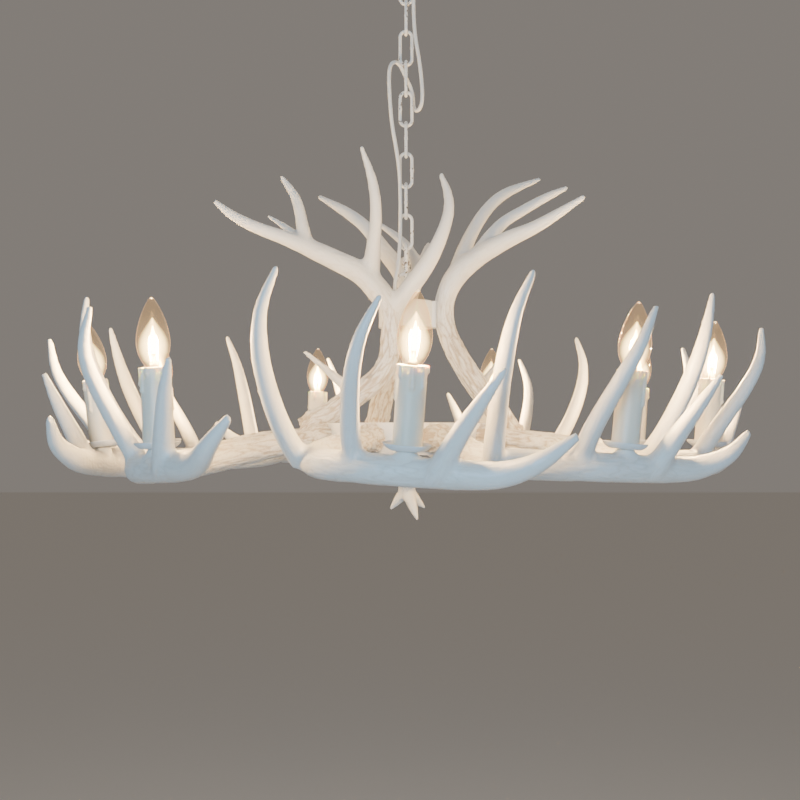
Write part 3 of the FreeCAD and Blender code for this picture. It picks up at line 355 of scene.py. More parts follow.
def material(name):
    """One of the object's materials, made when it is first asked for."""
    colours = bpy.context.scene.chandelier_colours
    makers = {
        "resin": cast_resin,
        "chain": lambda: painted_iron("painted_chain_iron", 0.60),
        "worn": lambda: painted_iron("chipped_link_iron", 0.535),
        "band": lambda: painted_iron("painted_band_iron", 0.72),
        "sleeve": lambda: moulded_plastic("wax_look_sleeve", colours.sleeve, 0.38, 3.0, 0.12),
        "pan": lambda: moulded_plastic("painted_drip_pan", colours.resin, 0.32),
        "holder": lambda: moulded_plastic("lamp_holder_plastic", "#D9D6CC", 0.5),
        "cord": lambda: moulded_plastic("pvc_cord_sheath", "#ECE9E1", 0.4, 1.5),
        "grommet": lambda: moulded_plastic("grommet_plastic", "#E2DED4", 0.48, 1.2),
        "brass": lambda: bare_metal("lamp_cap_brass", "#C9A867", 0.3),
        "zinc": lambda: bare_metal("zinc_plated_steel", "#A9ABAC", 0.4),
        "glass": lamp_glass,
        "glare": lamp_glare,
        "stem": lambda: moulded_plastic("lamp_stem_glass", "#D8CBB0", 0.1),
        "coil": lamp_coil,
    }
    if name not in MATERIALS:
        MATERIALS[name] = makers[name]()
    return MATERIALS[name]


# ---- mesh helpers


def made(name, bm):
    """The mesh of a bmesh, which is used up."""
    mesh = bpy.data.meshes.new(name)
    bm.to_mesh(mesh)
    bm.free()
    return mesh


def put(name, bm, body, finish_name, replaced=()):
    """Turns a bmesh into a finished piece that rides on a body."""
    return settle(name, made(name, bm), body, finish_name, replaced)


def placed(name, data):
    """A new object of a mesh, curve, light or camera in the scene."""
    item = bpy.data.objects.new(name, data)
    bpy.context.collection.objects.link(item)
    return item


def settle(name, mesh, body, finish_name, replaced=()):
    """Makes an object of a mesh, with its material, body and the CAD nodes that it stands for."""
    piece = placed(name, mesh)
    mesh.polygons.foreach_set("use_smooth", [True] * len(mesh.polygons))
    mesh.materials.append(material(finish_name))
    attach(piece, body)
    if replaced:
        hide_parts(*replaced)
    return piece


def cast(node, mesh, points):
    """Makes a casting of the fixture from a mesh whose points move to places in millimetres."""
    mesh.vertices.foreach_set("co", (points * MM).ravel())
    settle("cast_" + node, mesh, "fixture", "resin", [node])


def repaint(node, finish_name):
    """Gives a CAD node that stays in view its real finish."""
    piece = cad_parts[node]
    piece.data.materials.clear()
    piece.data.materials.append(material(finish_name))


def smooth_line(stations, step):
    """A smooth curve through stations, as rows of the same kind about a step apart."""
    rows = np.array(stations, dtype=float)
    padded = np.vstack([2 * rows[0] - rows[1], rows, 2 * rows[-1] - rows[-2]])
    line = []
    for i in range(1, len(padded) - 2):
        a, b, c, d = padded[i - 1:i + 3]
        steps = max(2, int(np.linalg.norm((c - b)[:3]) / step))
        for k in range(steps):
            t = k / steps
            line.append(0.5 * (2 * b + (c - a) * t + (2 * a - 5 * b + 4 * c - d) * t * t
                               + (3 * b - a - 3 * c + d) * t ** 3))
    line.append(rows[-1])
    return np.array(line)


def frames_along(line):
    """Directions along, across and over a curve, turning as little as they can."""
    along = np.gradient(line[:, :3], axis=0)
    along /= np.linalg.norm(along, axis=1)[:, None]
    across = [np.cross(along[0], (0.31, 0.2, 0.93))]
    for direction in along[1:]:
        across.append(across[-1] - direction * np.dot(across[-1], direction))
        across[-1] /= np.linalg.norm(across[-1])
    across[0] /= np.linalg.norm(across[0])
    across = np.array(across)
    return along, across, np.cross(along, across)


def extruded(bm, edges):
    """Draws edges out once and gives the new points and edges."""
    grown = bmesh.ops.extrude_edge_only(bm, edges=edges)["geom"]
    verts = [g for g in grown if isinstance(g, bmesh.types.BMVert)]
    return verts, [g for g in grown if isinstance(g, bmesh.types.BMEdge)
                   and all(v in verts for v in g.verts)]


def limb(bm, line):
    """Adds one antler limb to a bmesh: a ring drawn out along a curve, closed at both ends."""
    _, across, over = frames_along(line)
    ring = bmesh.ops.create_circle(bm, cap_ends=True, segments=LIMB_SIDES, radius=1.0)["verts"]

    def shape(verts, i):
        for k, vert in enumerate(verts):
            angle = 2 * math.pi * k / LIMB_SIDES
            out = across[i] * math.cos(angle) + over[i] * math.sin(angle)
            vert.co = Vector(line[i, :3] + out * max(line[i, 3], 0.3))

    shape(ring, 0)
    edges = list({e for v in ring for e in v.link_edges})
    for i in range(1, len(line)):
        verts, edges = extruded(bm, edges)
        order = {tuple(round(c, 4) for c in v.co): v for v in verts}
        verts = [order[tuple(round(c, 4) for c in old.co)] for old in ring]
        shape(verts, i)
        ring = verts
    bmesh.ops.contextual_create(bm, geom=edges)


def welded(name, lines, voxel, rounds):
    """One skin over several limbs, with rounded forks, as a mesh in millimetres."""
    bm = bmesh.new()
    for line in lines:
        limb(bm, line)
    bmesh.ops.recalc_face_normals(bm, faces=bm.faces)
    skin = applied(made(name, bm), None, ("REMESH", {"mode": "VOXEL", "voxel_size": voxel}),
                   ("SMOOTH", {"factor": 0.5, "iterations": rounds}))
    return applied(skin, forks(read(skin, "co"), lines),
                   ("SMOOTH", {"factor": 0.5, "iterations": FORK_ROUNDS, "vertex_group": "weights"}),
                   ("SUBSURF", {"levels": 1, "render_levels": 1}))


def forks(points, lines):
    """How near each point is to a fork: 1 where two limbs claim it alike, 0 where one owns it."""
    shares = []
    for line in lines:
        away = np.full(len(points), np.inf)
        for station in line:
            away = np.minimum(away, np.linalg.norm(points - station[:3], axis=1) / station[3])
        shares.append(away)
    first, second = np.sort(np.array(shares), axis=0)[:2]
    return np.clip(1 - (second - first) / FORK_SPREAD, 0, 1)


def applied(mesh, weights, *modifiers):
    """The mesh that modifiers make of a mesh, which is used up; weights fill a vertex group."""
    piece = placed("worked", mesh)
    if weights is not None:
        group = piece.vertex_groups.new(name="weights")
        for index, weight in enumerate(weights):
            group.add([index], float(weight), "REPLACE")
    for kind, settings in modifiers:
        modifier = piece.modifiers.new(kind.lower(), kind)
        for field, value in settings.items():
            setattr(modifier, field, value)
    seen = piece.evaluated_get(bpy.context.evaluated_depsgraph_get())
    result = bpy.data.meshes.new_from_object(seen)
    bpy.data.objects.remove(piece)
    bpy.data.meshes.remove(mesh)
    return result


def read(mesh, field):
    """The places (co) or directions (normal) of a mesh's points, as an array."""
    flat = np.empty(len(mesh.vertices) * 3)
    mesh.vertices.foreach_get(field, flat)
    return flat.reshape(-1, 3)


def fade(share, end, width):
    """Falls from 1 to 0 over a width that ends at a share of a limb's length."""
    return min(1.0, max(0.0, (end - share) / width))


def bark(mesh, lines, rough_of):
    """Cuts antler grain into a skin: fissures along each limb, as deep as rough_of says.

    rough_of(limb number, share along it) gives the depth in millimetres, the spacing and the knobs.
    The share of each cut is kept in the attribute called cut.
    """
    tree = kdtree.KDTree(sum(len(line) for line in lines))
    owners = []
    for number, line in enumerate(lines):
        along, across, over = frames_along(line)
        steps = np.linalg.norm(np.diff(line[:, :3], axis=0), axis=1)
        reach = np.concatenate([[0], np.cumsum(steps)])
        for i in range(len(line)):
            tree.insert(line[i, :3], len(owners))
            owners.append((number, reach[i], reach[i] / reach[-1], line[i], along[i], across[i], over[i]))
    tree.balance()
    points, outward = read(mesh, "co"), read(mesh, "normal")
    cuts = np.zeros(len(points))
    for index, point in enumerate(points):
        best = None
        for _, hit, distance in tree.find_n(point, 3):
            share = distance / max(owners[hit][3][3], 1.0)
            if best is None or share < best[0]:
                best = (share, hit)
        number, reach, share, station, along, across, over = owners[best[1]]
        depth, spacing, knobs = rough_of(number, share)
        if depth <= 0 and knobs <= 0:
            continue
        offset = point - station[:3]
        ahead = reach + float(np.dot(offset, along))
        angle = math.atan2(float(np.dot(offset, over)), float(np.dot(offset, across)))
        girth = station[3] / spacing
        grain = Vector((math.cos(angle) * girth, math.sin(angle) * girth,
                        ahead / (spacing * GRAIN_STRETCH) + number * 7.3))
        wander = noise.noise(grain * 0.6 + Vector((3.1, 7.7, 1.9)))
        ridge = 1 - abs(noise.noise(grain + Vector((wander, -wander, wander * 0.6)) * 0.9)) * FISSURE
        fine = 1 - abs(noise.noise(grain * 2.3 + Vector((11.0, 3.0, 5.0)))) * FISSURE
        cut = max(ridge, 0.0) ** 3 + 0.4 * max(fine, 0.0) ** 3
        knob = max(0.0, noise.noise(Vector(point) / KNOB_SIZE + Vector((0, 0, 9.0)))) ** 1.5
        points[index] += outward[index] * (knob * knobs * 3.0 - depth * cut)
        # the share of each cut also sets how much painted shade the resin puts into the grain
        cuts[index] = min(cut * depth / 1.1, 1.0)
    mesh.vertices.foreach_set("co", points.ravel())
    mesh.attributes.new("cut", "FLOAT", "POINT").data.foreach_set("value", cuts)
    mesh.update()


# ---- ring antlers


def share_out(share):
    """The distance from the axis at a share of the way from the hoop to the candle circle."""
    return HOOP_RADIUS + share * (CANDLE_CIRCLE - HOOP_RADIUS)


def stand(points, number):
    """Mould points (out, side, up) in the chandelier's frame, by the casting's stance and place."""
    turn, further, roll, pitch = STANCES[number]
    out, side, up = np.asarray(points, dtype=float).reshape(-1, 3).T
    share = (out - HOOP_RADIUS) / (CANDLE_CIRCLE - HOOP_RADIUS)
    weight = np.clip(share / 0.6, 0, 1)
    weight = weight * weight * (3 - 2 * weight)
    pivot = share_out(STANCE_PIVOT)
    a, b, c = (math.radians(v) * weight for v in (turn, roll, pitch))
    out, side = (pivot + (out - pivot) * np.cos(a) - side * np.sin(a),
                 (out - pivot) * np.sin(a) + side * np.cos(a))
    side, up = side * np.cos(b) - up * np.sin(b), side * np.sin(b) + up * np.cos(b)
    out, up = (pivot + (out - pivot) * np.cos(c) - up * np.sin(c),
               (out - pivot) * np.sin(c) + up * np.cos(c))
    out = out + further * weight
    round_ = math.radians(360 / CANDLES * number)
    return np.stack([out * math.sin(round_) + side * math.cos(round_),
                     -out * math.cos(round_) + side * math.sin(round_), HOOP_LEVEL + up], axis=1)


def candle_frame(number):
    """The matrix of a candle in metres: on its seat, leaning outwards."""
    lean = math.radians(CANDLE_LEAN)
    seat, above = stand([(CANDLE_CIRCLE, 0, -SEAT_DROP),
                         (CANDLE_CIRCLE + SLEEVE_HEIGHT * math.sin(lean), 0,
                          SLEEVE_HEIGHT * math.cos(lean) - SEAT_DROP)], number)
    turn = Vector(above - seat).to_track_quat("Z", "Y").to_matrix().to_4x4()
    return Matrix.Translation(Vector(seat) * MM) @ turn @ Matrix.Scale(MM, 4)


def ring_grain(number, share):
    """Depth, spacing and knobs of the grain on the ring antler's limbs."""
    if number == 0:
        burr, base, tip = fade(share, 0.06, 0.06), fade(share, 0.45, 0.45), fade(share, 0.97, 0.25)
        return 0.3 * tip + 1.3 * base + 1.2 * burr, 4.5, 2.2 * burr + 0.25 * base
    return 0.22 * fade(share, 0.5, 0.5) + 0.03, 4.0, 0.0


def upright_grain(number, share):
    """Depth, spacing and knobs of the grain on an upright antler's limbs."""
    if number == 0:
        burr, low, tip = fade(share, 0.04, 0.04), fade(share, 0.52, 0.2), fade(share, 0.95, 0.3)
        return 0.25 * tip + 1.25 * low + burr, 4.6, 2.4 * burr + 0.5 * low
    return 0.2 * fade(share, 0.45, 0.45) + 0.03, 4.0, 0.0


def keep_outside(points, low, high):
    """Presses points that reach into the hoop, between two levels, back out to its face."""
    radius = HOOP_RADIUS + 0.1
    across = np.hypot(points[:, 0], points[:, 1])
    inside = (across < radius) & (points[:, 2] > low) & (points[:, 2] < high)
    points[inside, :2] *= (radius / across[inside])[:, None]
    return points


def make_ring_antlers():
    """Casts the one ring antler mould nine times, each in its own stance."""
    lines = []
    for rows, thickness in [(RING_BEAM, BEAM_THICKNESS)] + [(t, TINE_THICKNESS) for t in RING_TINES]:
        stations = [(share_out(s), side, up, thickness / 2 * part) for s, side, up, part in rows]
        lines.append(smooth_line(stations, LIMB_STEP))
    boss = [(CANDLE_CIRCLE, 0, up, radius)
            for up, radius in ((-31, 13.5), (-22, 12.5), (-15, 12.0), (-SEAT_DROP, 12.0))]
    lines.append(smooth_line(boss, 3.0))
    mould = welded("ring_antler_mould", lines, SKIN_VOXEL, 10)
    bark(mould, lines, ring_grain)
    shape = read(mould, "co")
    for number in range(CANDLES):
        points = keep_outside(stand(shape, number), HOOP_LEVEL - 60, HOOP_LEVEL + 60)
        cast("ring_antler_%d" % (number + 1), mould.copy(), points)
    bpy.data.meshes.remove(mould)


# ---- upright antlers


def make_upright(plan):
    """One upright antler, pressed flat against its collar tab and clear of the hoop."""
    angle = math.radians(plan["angle"])
    out = np.array((math.cos(angle), math.sin(angle), 0))
    waist = out * (TAB_REACH + TRUNK_STAND_OFF) + np.array((0, 0, COLLAR_LEVEL))
    lines = [smooth_line([tuple(waist + row[:3]) + (row[3],) for row in rows], LIMB_STEP)
             for rows in [plan["trunk"]] + plan["tines"]]
    mesh = welded(plan["label"] + "_skin", lines, SKIN_VOXEL, 9)
    bark(mesh, lines, upright_grain)
    points = keep_outside(read(mesh, "co"), HOOP_LEVEL - 50, HOOP_LEVEL + 20.5)
    reach = points @ out
    seated = (reach > 0) & (reach < TAB_REACH) & (abs(points[:, 2] - COLLAR_LEVEL) < COLLAR_HEIGHT / 2)
    points[seated] += out * (TAB_REACH + 0.05 - reach[seated])[:, None]
    cast(plan["label"], mesh, points)


# ---- turned pieces


def lathe(outline, steps=64, closed=False):
    """A bmesh spun from an outline of (radius, height) in millimetres."""
    bm = bmesh.new()
    verts = [bm.verts.new((radius, 0, height)) for radius, height in outline]
    edges = [bm.edges.new(pair) for pair in zip(verts, verts[1:])]
    if closed:
        edges.append(bm.edges.new((verts[-1], verts[0])))
    bmesh.ops.spin(bm, geom=verts + edges, axis=(0, 0, 1), angle=2 * math.pi, steps=steps, use_merge=True)
    bmesh.ops.remove_doubles(bm, verts=bm.verts, dist=0.001)
    bmesh.ops.recalc_face_normals(bm, faces=bm.faces)
    return bm


def eased(bm, width):
    """Rounds a bmesh's sharp edges, those of more than half a radian, by a small width."""
    sharp = [e for e in bm.edges if len(e.link_faces) == 2 and e.calc_face_angle() > 0.5]
    bmesh.ops.bevel(bm, geom=sharp, offset=width, offset_type="OFFSET", segments=2, profile=0.5,
                    affect="EDGES", material=-1, clamp_overlap=True)
    return bm


def moved(bm, matrix):
    """Puts a bmesh in its place."""
    bmesh.ops.transform(bm, matrix=matrix, verts=bm.verts)
    return bm


def drip_plan(number):
    """The wax drips of one sleeve: angle, half width, lower end and thickness, from a fixed rule."""
    drips = []
    for k in range(DRIPS):
        wobble = noise.cell(Vector((number * 3.1 + 0.5, k * 1.7 + 0.5, 0.5)))
        second = noise.cell(Vector((k * 2.3 + 0.5, number * 5.9 + 0.5, 4.5)))
        angle = 2 * math.pi * (k + 0.35 * wobble) / DRIPS
        length = 5 + 27 * abs(second) ** 1.1 + (10 if k % 3 == 0 else 0)
        drips.append((angle, 1.9 + 0.9 * abs(wobble), SLEEVE_HEIGHT - length, 1.6 + 0.7 * abs(second)))
    return drips


def make_sleeve(number):
    """A candle sleeve with a melted rim and wax drips down its upper half."""
    radius, bore = SLEEVE_RADIUS, SLEEVE_RADIUS - SLEEVE_WALL
    heights = [1] + list(np.linspace(3, SLEEVE_HEIGHT - 0.8, 58))
    outline = [(radius - 0.5, 0)] + [(radius, height) for height in heights]
    outline += [(radius - 0.4, SLEEVE_HEIGHT), (bore, SLEEVE_HEIGHT - 0.2), (bore, SLEEVE_HEIGHT - 40),
                (bore, 0)]
    bm = lathe(outline, 116, closed=True)
    drips = drip_plan(number)
    for vert in bm.verts:
        across = math.hypot(vert.co.x, vert.co.y)
        if across < radius - 1.0:
            continue
        angle = math.atan2(vert.co.y, vert.co.x)
        swell = 0.25 / (1 + math.exp((SLEEVE_HEIGHT - 3 - vert.co.z) / 1.2))
        for place, half, end, thick in drips:
            away = math.remainder(angle - place, 2 * math.pi) * radius
            if abs(away) > half:
                continue
            side = math.sqrt(1 - (away / half) ** 2)
            rise = 1 / (1 + math.exp(-(vert.co.z - end) / 0.7))
            tip_highlight = 0.45 * math.exp(-((vert.co.z - end - 1.5) / (1.2 * half)) ** 2)
            swell = max(swell, thick * side * (rise + tip_highlight))
        vert.co.x *= (across + swell) / across
        vert.co.y *= (across + swell) / across
    moved(bm, candle_frame(number) @ Matrix.Translation((0, 0, PAN_FLOOR)))
    node = "candle_sleeve_%d" % (number + 1)
    put("dripping_" + node, bm, "fixture", "sleeve", [node])


def make_pan(number):
    """A shallow pressed drip pan with a rolled rim."""
    outline = [(0, 0.2), (11, 0.0), (17, 0.0), (20.5, 1.6), (23.4, 4.4), (24.1, 5.6), (24.5, 6.4),
               (24.2, 7.0), (23.5, 6.9), (22.9, 5.8), (20.0, 3.2), (17.0, 1.9), (11, 1.9), (0, 1.9)]
    bm = moved(lathe(outline, 64), candle_frame(number))
    put("drip_pan_%d" % (number + 1), bm, "fixture", "pan", () if number else ["drip_pans"])


def lamp_outline():
    """The outline of a candle lamp's glass from neck to drawn tip, in millimetres."""
    outline = []
    for height in GLASS_HEIGHT * np.linspace(0, 1, 44)[:-1]:
        if height < GLASS_BELLY:
            t = height / GLASS_BELLY
            radius = NECK_RADIUS + (GLASS_RADIUS - NECK_RADIUS) * (1 - (1 - t) ** 2.2) ** 0.92
        else:
            t = (height - GLASS_BELLY) / (GLASS_HEIGHT - GLASS_BELLY)
            radius = GLASS_RADIUS * (1 - t ** 1.75) ** 0.78 * (1 - 0.12 * t) + 0.7 * t
        outline.append((max(radius, 0.5), height))
    return outline + [(0.0, GLASS_HEIGHT)]


# What is inside a lamp: kind, outline of (radius, height above the sleeve) and steps round it.
LAMP_INSIDE = [
    ("stem", [(0, 0), (5.2, 0), (5.0, 3), (2.6, 8), (1.7, 16), (1.9, 19), (0, 19.6)], 24),
    ("coil", [(0, 12), (1.6, 13.5), (3.2, 17), (4.0, 22), (3.8, 28), (2.8, 34), (1.4, 39), (0.5, 43),
              (0, 44)], 20),
    ("glare", [(0, 0.6), (7.4, 1.2), (12.5, 8), (15.8, 16), (16.6, 23), (15.6, 30), (12.4, 37), (8.0, 43),
               (4.0, 48), (1.2, 52), (0, 53)], 40)]


def make_lamp(number):
    """A clear candle lamp: glass, cap, glass stem and the lit coil with its glare."""
    body = "bulb_%d" % (number + 1)
    base = candle_frame(number) @ Matrix.Translation((0, 0, PAN_FLOOR + SLEEVE_HEIGHT))
    node = "bulb_glass_%d" % (number + 1)
    glass = lathe(lamp_outline(), 48)
    levels = [vert.co.z / GLASS_HEIGHT for vert in glass.verts]
    piece = put("clear_" + node, moved(glass, base), body, "glass", [node])
    piece.data.attributes.new("level", "FLOAT", "POINT").data.foreach_set("value", levels)
    for kind, outline, steps in LAMP_INSIDE:
        put("lamp_%s_%d" % (kind, number + 1), moved(lathe(outline, steps), base), body, kind)
    cap = [(0, -24), (3.5, -24), (4.2, -22.5), (6.3, -21.5)]
    for turn in range(6):
        cap += [(6.9, -20 + 2.8 * turn), (6.3, -18.6 + 2.8 * turn)]
    cap += [(6.9, -2.4), (6.9, -0.2), (0, -0.2)]
    node = "bulb_cap_%d" % (number + 1)
    put("threaded_" + node, moved(lathe(cap, 40), base), body, "brass", [node])
    light = bpy.data.lights.new("lamp_light", "POINT")
    light.energy = bpy.context.scene.chandelier_sizes.lamp_power
    light.color = linear("#FFDBA2")[:3]
    light.shadow_soft_size = COIL_RADIUS * MM
    placed("lamp_light_%d" % (number + 1), light).location = base @ Vector((0, 0, COIL_HEIGHT))


# ---- links, loops and the quick link


def wire_loop(length, width, wire, weld=0.0, bend_steps=14, sides=16):
    """A bmesh of a closed link in the XZ plane, with a weld swelling on one side."""
    bend, rise = (width - wire) / 2, (length - width) / 2
    bm = bmesh.new()
    ring = bmesh.ops.create_circle(bm, cap_ends=False, segments=sides, radius=wire / 2)["verts"]
    bmesh.ops.translate(bm, verts=ring, vec=(bend, 0, rise))
    geom = ring + list({e for v in ring for e in v.link_edges})

    def turn(geom, level):
        return bmesh.ops.spin(bm, geom=geom, cent=(0, 0, level), axis=(0, -1, 0), angle=math.pi,
                              steps=bend_steps)["geom_last"]

    def run(geom, vec, swell):
        last = 1.0
        for share, size in ((0.42, 1.0), (0.03, 1 + swell), (0.1, 1 + swell), (0.03, 1.0), (0.42, 1.0)):
            verts, edges = extruded(bm, [g for g in geom if isinstance(g, bmesh.types.BMEdge)])
            bmesh.ops.translate(bm, verts=verts, vec=Vector(vec) * share)
            centre = sum((v.co for v in verts), Vector()) / len(verts)
            for vert in verts:
                vert.co = centre + (vert.co - centre) * (size / last)
            last = size
            geom = verts + edges
        return geom

    geom = turn(geom, rise)
    if rise > 0:
        geom = run(geom, (0, 0, -2 * rise), weld)
    geom = turn(geom, -rise)
    if rise > 0:
        run(geom, (0, 0, 2 * rise), 0.0)
    bmesh.ops.remove_doubles(bm, verts=bm.verts, dist=0.01)
    bmesh.ops.recalc_face_normals(bm, faces=bm.faces)
    return bm


def at_level(level, quarter=0):
    """A matrix in metres for a piece on the axis at a height in millimetres, turned by quarters."""
    return (Matrix.Translation((0, 0, level * MM)) @ Matrix.Rotation(math.pi / 2 * quarter, 4, "Z")
            @ Matrix.Scale(MM, 4))


def make_chain():
    """The welded links, with the top link by itself, and the chipped quick link."""
    length = LINK_PITCH + 2 * LINK_WIRE
    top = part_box("chain_top_link")[1][2] / MM - length / 2
    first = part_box("chain_links")[1][2] / MM - length / 2
    links = [("welded_top_link", top, 0, "top_link", ["chain_top_link"])]
    links += [("welded_link_%d" % (k + 1), first - k * LINK_PITCH, k + 1, "chain",
               () if k else ["chain_links"]) for k in range(LINKS)]
    for name, level, quarter, body, replaced in links:
        bm = moved(wire_loop(length, LINK_WIDTH, LINK_WIRE, LINK_WELD), at_level(level, quarter))
        put(name, bm, body, "chain", replaced)
    quick = wire_loop(span("quick_link", 2) / MM, QUICK_LINK_WIDTH, LOOP_WIRE)
    nut = bmesh.ops.create_cone(quick, cap_ends=True, segments=6, radius1=NUT_RADIUS, radius2=NUT_RADIUS,
                                depth=NUT_LENGTH)
    bmesh.ops.translate(quick, verts=nut["verts"], vec=((QUICK_LINK_WIDTH - LOOP_WIRE) / 2, 0, 0))
    level = middle("quick_link").z / MM
    put("chipped_quick_link", moved(quick, at_level(level, 1)), "quick_link", "worn",
        ["quick_link"])


def make_loops():
    """The canopy loop and the top loop, each a ring on a turned foot."""
    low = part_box("canopy_loop")[0][2] / MM + LOOP_WIDTH / 2
    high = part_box("top_loop")[1][2] / MM - LOOP_WIDTH / 2
    upper = [(0, -8), (6.4, -8), (7.6, -7.4), (9.2, -5.2), (9.8, -4.2), (10, -3.2), (10, -0.6), (9.5, 0),
             (5, 0), (5, 24), (4.6, 26.6), (0, 27)]
    lower = [(0, 0), (9.5, 0), (10, 0.6), (10, 3.2), (9.2, 5.2), (7.6, 7.4), (6.4, 8), (0, 8)]
    for node, body, finish_name, level, quarter, foot, foot_level in (
            ("canopy_loop", "ceiling_fitting", "chain", low, 1, upper, CANOPY_BOTTOM),
            ("top_loop", "fixture", "worn", high, 0, lower, COLLAR_TOP)):
        ring = wire_loop(LOOP_WIDTH, LOOP_WIDTH, LOOP_WIRE, sides=18, bend_steps=22)
        moved(ring, at_level(level, quarter))
        put(node + "_ring", ring, body, finish_name, [node])
        foot = moved(lathe(foot, 40), at_level(foot_level))
        put(node + "_foot", foot, body, finish_name)


# ---- cord


def make_cord():
    """The white lamp cord, up beside the chain, through one link, round a slack loop to the canopy."""
    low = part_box("collar_grommet")[1][2]
    curve = bpy.data.curves.new("hanging_lamp_cord", "CURVE")
    curve.dimensions = "3D"
    curve.bevel_depth = CORD_DIAMETER / 2 * MM
    curve.bevel_resolution = 5
    curve.use_fill_caps = True
    spline = curve.splines.new("NURBS")
    spline.points.add(len(CORD_ROUTE) - 1)
    for point, (x, y, z) in zip(spline.points, CORD_ROUTE):
        point.co = (x * MM, y * MM, low + z * MM, 1.0)
    spline.order_u = 3
    spline.use_endpoint_u = True
    spline.resolution_u = 8
    curve.materials.append(material("cord"))
    cord = placed("hanging_lamp_cord", curve)
    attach(cord, "chain")
    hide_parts("lamp_cord")
    for node in ("collar_grommet", "canopy_grommet"):
        repaint(node, "grommet")


# ---- canopy, collar, hoop, finial


def make_canopy():
    """The spun ceiling canopy with a beaded rim, and the fittings inside it."""
    outline = [(5.3, -30), (30, -30), (36, -29.4), (43, -26.6), (50, -21.5), (56, -14), (59.6, -6),
               (60.4, -4), (61.8, -3.2), (62, -1.8), (61.4, 0), (59.8, 0), (58.4, -6), (54.8, -13.4),
               (49, -20.2), (42.4, -25.2), (36, -27.8), (30, -28.5), (5.3, -28.5)]
    bm = moved(lathe(outline, 96, closed=True), at_level(0))
    put("spun_canopy", bm, "ceiling_fitting", "band", ["ceiling_canopy"])
    for node in ("ceiling_crossbar", "stem_nut"):
        repaint(node, "zinc")


def make_collar():
    """The upper collar and the tabs that its screws go through."""
    bm = lathe([(ROD_RADIUS, 0), (COLLAR_RADIUS, 0), (COLLAR_RADIUS, -COLLAR_HEIGHT),
                (COLLAR_RADIUS - 3, -COLLAR_HEIGHT), (COLLAR_RADIUS - 3, -3), (ROD_RADIUS, -3)], 72,
               closed=True)
    eased(bm, 0.7)
    moved(bm, at_level(COLLAR_TOP))
    put("pressed_collar", bm, "fixture", "band", ["upper_collar"])
    for number, plan in enumerate(UPRIGHTS):
        bm = bmesh.new()
        bmesh.ops.create_cube(bm, size=1.0)
        bmesh.ops.scale(bm, verts=bm.verts, vec=(TAB_DEPTH, TAB_WIDTH, COLLAR_HEIGHT))
        bmesh.ops.translate(bm, verts=bm.verts, vec=(TAB_REACH - TAB_DEPTH / 2, 0, 0))
        turn = Matrix.Rotation(math.radians(plan["angle"]), 4, "Z")
        moved(eased(bm, 0.9), at_level(COLLAR_LEVEL) @ turn)
        put("collar_tab_%d" % (number + 1), bm, "fixture", "band")


def make_hoop():
    """The flat hoop with eased edges, its spider and rod."""
    half = span("hoop", 2) / 2 / MM
    bm = lathe([(HOOP_RADIUS - HOOP_WALL, -half), (HOOP_RADIUS, -half), (HOOP_RADIUS, half),
                (HOOP_RADIUS - HOOP_WALL, half)], 128, closed=True)
    eased(bm, 0.8)
    put("rolled_hoop", moved(bm, at_level(HOOP_LEVEL)), "fixture", "band", ["hoop"])
    for node in ("hub_spider", "centre_rod", "rod_nuts", "antler_screws", "collar_screws"):
        repaint(node, "band")
    repaint("lamp_holders", "holder")


def make_finial():
    """The cast end piece: a short stem that ends in three points."""
    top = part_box("finial")[1][2] / MM
    rows = [[(0, 0, top, 12.5), (0, 0, top - 12, 12.5), (1, 0, top - 38, 11.2), (2, -1, top - 52, 9.6)],
            [(0, 0, top - 40, 8.7), (-11, 5, top - 54, 6.2), (-21, 8, top - 66, 1.6)],
            [(2, 0, top - 40, 8.7), (14, 6, top - 54, 6.2), (25, 10, top - 64, 1.6)],
            [(2, -2, top - 44, 8.7), (9, -10, top - 62, 6.2), (15, -15, top - 78, 1.6)]]
    lines = [smooth_line(row, 3.0) for row in rows]
    mesh = welded("finial_skin", lines, 1.5, 6)
    bark(mesh, lines, lambda number, share: (0.5 if number == 0 else 0.1, 3.6, 0.2))
    cast("finial", mesh, read(mesh, "co"))


# ---- stage


def make_stage():
    """A pale floor, soft studio light and the camera at the photograph's angle."""
    bm = bmesh.new()
    bmesh.ops.create_grid(bm, x_segments=1, y_segments=1, size=30.0)
    bmesh.ops.translate(bm, verts=bm.verts, vec=(0, 0, FLOOR_LEVEL * MM))
    mesh = made("floor", bm)
    look = blank("pale_floor")
    finish(look, add(look, "BsdfDiffuse", {"Color": linear("#F1EEE9")}))
    mesh.materials.append(look)
    placed("floor", mesh)

    world = bpy.data.worlds.new("studio")
    bpy.context.scene.world = world
    world.use_nodes = True
    sky = world.node_tree.nodes["Background"]
    sky.inputs["Color"].default_value = linear("#D6CDC4")
    sky.inputs["Strength"].default_value = 0.34

    for name, place, size, power, colour in (
            ("key", (-0.5, -2.6, -0.5), 0.8, 54, "#9ED4FF"),
            ("fill", (1.9, -1.6, -0.9), 1.6, 10, "#B4DAFF"),
            ("top", (0.2, 1.2, 1.0), 2.0, 22, "#FFE6C8")):
        light = bpy.data.lights.new(name, "AREA")
        light.size = size
        light.energy = power
        light.color = linear(colour)[:3]
        lamp = placed(name, light)
        lamp.location = place
        aim = Vector((0, 0, HOOP_LEVEL * MM)) - lamp.location
        lamp.rotation_euler = aim.to_track_quat("-Z", "Y").to_euler()

    view = bpy.data.cameras.new("camera")
    view.sensor_width = 36.0
    view.lens = EYE_LENS
    camera = placed("camera", view)
    camera.location = Vector((EYE_SIDE, -EYE_DISTANCE, EYE_LEVEL)) * MM
    camera.rotation_euler = (math.radians(90 + EYE_PITCH), 0, 0)
    bpy.context.scene.camera = camera


# ---- settings


